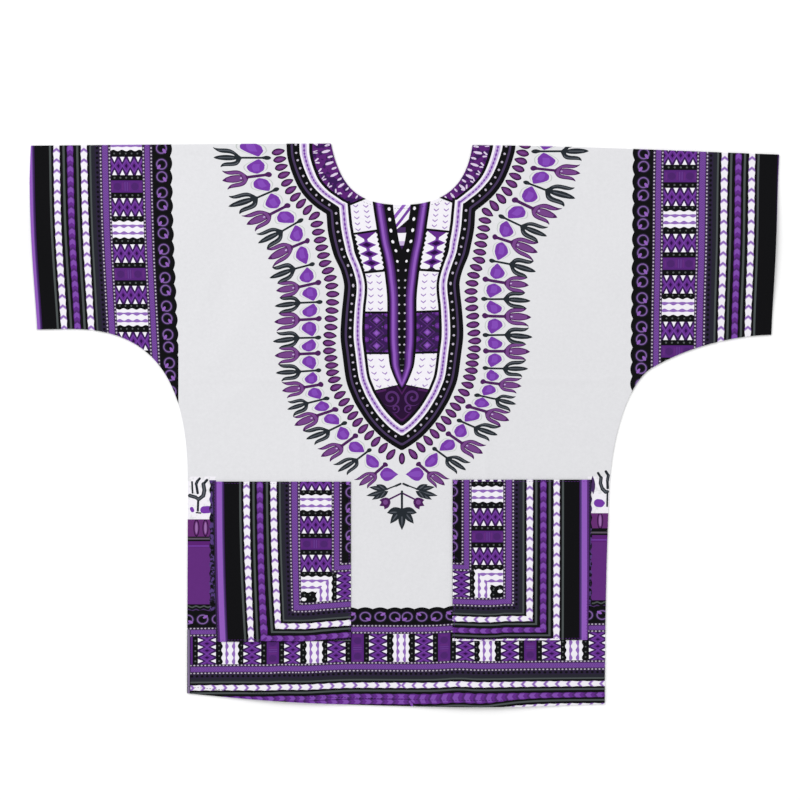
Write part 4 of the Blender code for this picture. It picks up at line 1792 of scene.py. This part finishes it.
def makeShirt():
    outline = bodyOutline()
    low, high = outline.min(0), outline.max(0)
    axis, reach, hem = neckPanel["axis"] / 1000, regions["neckOut"], shirt["hemWidth"]

    def frontHeight(x, y, edge):
        return frontTop(x, y) + hemRise(edge, hem)

    def backHeight(x, y, edge):
        return np.full(len(x), shirt["wall"])

    plain = Print("plainCotton").finish()
    prints = [plain, sleevePrint("left"), sleevePrint("right"), neckPrint(), hemPrint()]  # as in bodyPrints
    print("prints mixed")
    pieces = {}
    for name, height, wall, coarse, fine in (
        ("backCloth", backHeight, shirt["wall"], shirt["backCoarse"], shirt["backFine"]),
        ("frontCloth", frontHeight, shirt["frontWall"], shirt["coarse"], shirt["fine"]),
    ):
        xLines = lines(low[0], high[0], coarse, axis - reach, axis + reach, fine)
        yLines = lines(low[1], high[1], coarse, regions["neckFoot"], high[1], fine)
        pieces[name] = clothPiece(
            name, outline, hem, xLines, yLines, height, wall, bodyRegion, prints, printPlaces
        )
    return pieces


def makePocket(name):
    outline = pocketOutline(name)
    low, high = outline.min(0), outline.max(0)
    hem, wall, pitch = pocketCloth["hemWidth"], pocketCloth["wall"], pocketCloth["pitch"]

    def height(x, y, edge):
        return pocketTop(x, y) + hemRise(edge, hem) * pocketCloth["hemShare"]

    xLines, yLines = lines(low[0], high[0], pitch), lines(low[1], high[1], pitch)
    label = name.replace("_pocket", "PocketCloth")
    prints = [pocketPrint(name)]
    return clothPiece(label, outline, hem, xLines, yLines, height, wall, lambda place: 0, prints)


def sewBody():
    edgesSewn = ("rightCuffTop", "rightHem", "leftCuffFoot")
    paths = [(edgeRun(edge, edge), sewing["hemInset"]) for edge in edgesSewn]
    paths.append((edgeRun("neckLeft", "neckFoot"), sewing["neckInset"]))
    return threads("bodyStitching", paths, lambda x, y: frontTop(x, y) + sewing["bodyLift"], "black")


def sewPocket(name):
    outline = pocketOutline(name)
    path = np.concatenate([outline, outline[:1]])
    if name == "right_pocket":
        path = path[::-1]
    label = name.replace("_pocket", "PocketStitching")
    return threads(label, [(path, sewing["pocketInset"])], pocketTop, "mid")


shirtPieces = makeShirt()
pocketPieces = {name: makePocket(name) for name in pocketCuts}
bodyThreads = sewBody()
pocketThreads = {name: sewPocket(name) for name in pocketCuts}

studio = {  # floor, light and camera
    "floor": (0.96, 0.96, 0.96, 1.0),
    "floorSize": 8.0,
    "floorDrop": 0.0005,
    "floorRoughness": 0.9,
    "floorSpecular": 0.1,
    "world": 0.78,
    "keyPower": 140.0,
    "keySize": 3.2,
    "keyPlace": (-1.9, 2.3, 4.5),
    "lens": 90.0,
    "sensor": 36.0,
    "distance": 2.8,
    "aim": (-0.0062, 0.0351, 0.0),
}


def makeStudio():
    bm = bmesh.new()
    bmesh.ops.create_grid(bm, x_segments=1, y_segments=1, size=studio["floorSize"])
    bmesh.ops.translate(bm, verts=bm.verts, vec=(0, 0, -studio["floorDrop"]))
    material = bpy.data.materials.new("paleFloor")
    material.use_nodes = True
    shader = material.node_tree.nodes["Principled BSDF"]
    shader.inputs["Base Color"].default_value = studio["floor"]
    shader.inputs["Roughness"].default_value = studio["floorRoughness"]
    shader.inputs["Specular IOR Level"].default_value = studio["floorSpecular"]
    linkMesh(bm, "floor", [material])

    world = bpy.data.worlds.new("studioWorld")
    world.use_nodes = True
    background = world.node_tree.nodes["Background"]
    background.inputs["Color"].default_value = (1.0, 1.0, 1.0, 1.0)
    background.inputs["Strength"].default_value = studio["world"]
    scene = bpy.context.scene
    scene.world = world

    light = bpy.data.lights.new("key", "AREA")
    light.energy = studio["keyPower"]
    light.size = studio["keySize"]
    key = bpy.data.objects.new("key", light)
    key.location = studio["keyPlace"]
    key.rotation_euler = (-Vector(studio["keyPlace"])).to_track_quat("-Z", "Y").to_euler()
    scene.collection.objects.link(key)

    lens = bpy.data.cameras.new("camera")
    lens.lens = studio["lens"]
    lens.sensor_width = studio["sensor"]
    camera = bpy.data.objects.new("camera", lens)
    camera.location = Vector(studio["aim"]) + Vector((0, 0, studio["distance"]))
    scene.collection.objects.link(camera)
    scene.camera = camera
    scene.view_settings.view_transform = "Standard"


makeStudio()
print("studio set")

# What each piece stands for.

for name, node in (("frontCloth", "front_body"), ("backCloth", "back_body")):
    piece = shirtPieces[name]
    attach(piece, "root")
    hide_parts(node)
for name, piece in pocketPieces.items():
    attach(piece, "root")
    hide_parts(name)
    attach(pocketThreads[name], "root")
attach(bodyThreads, "root")
print("pieces named")
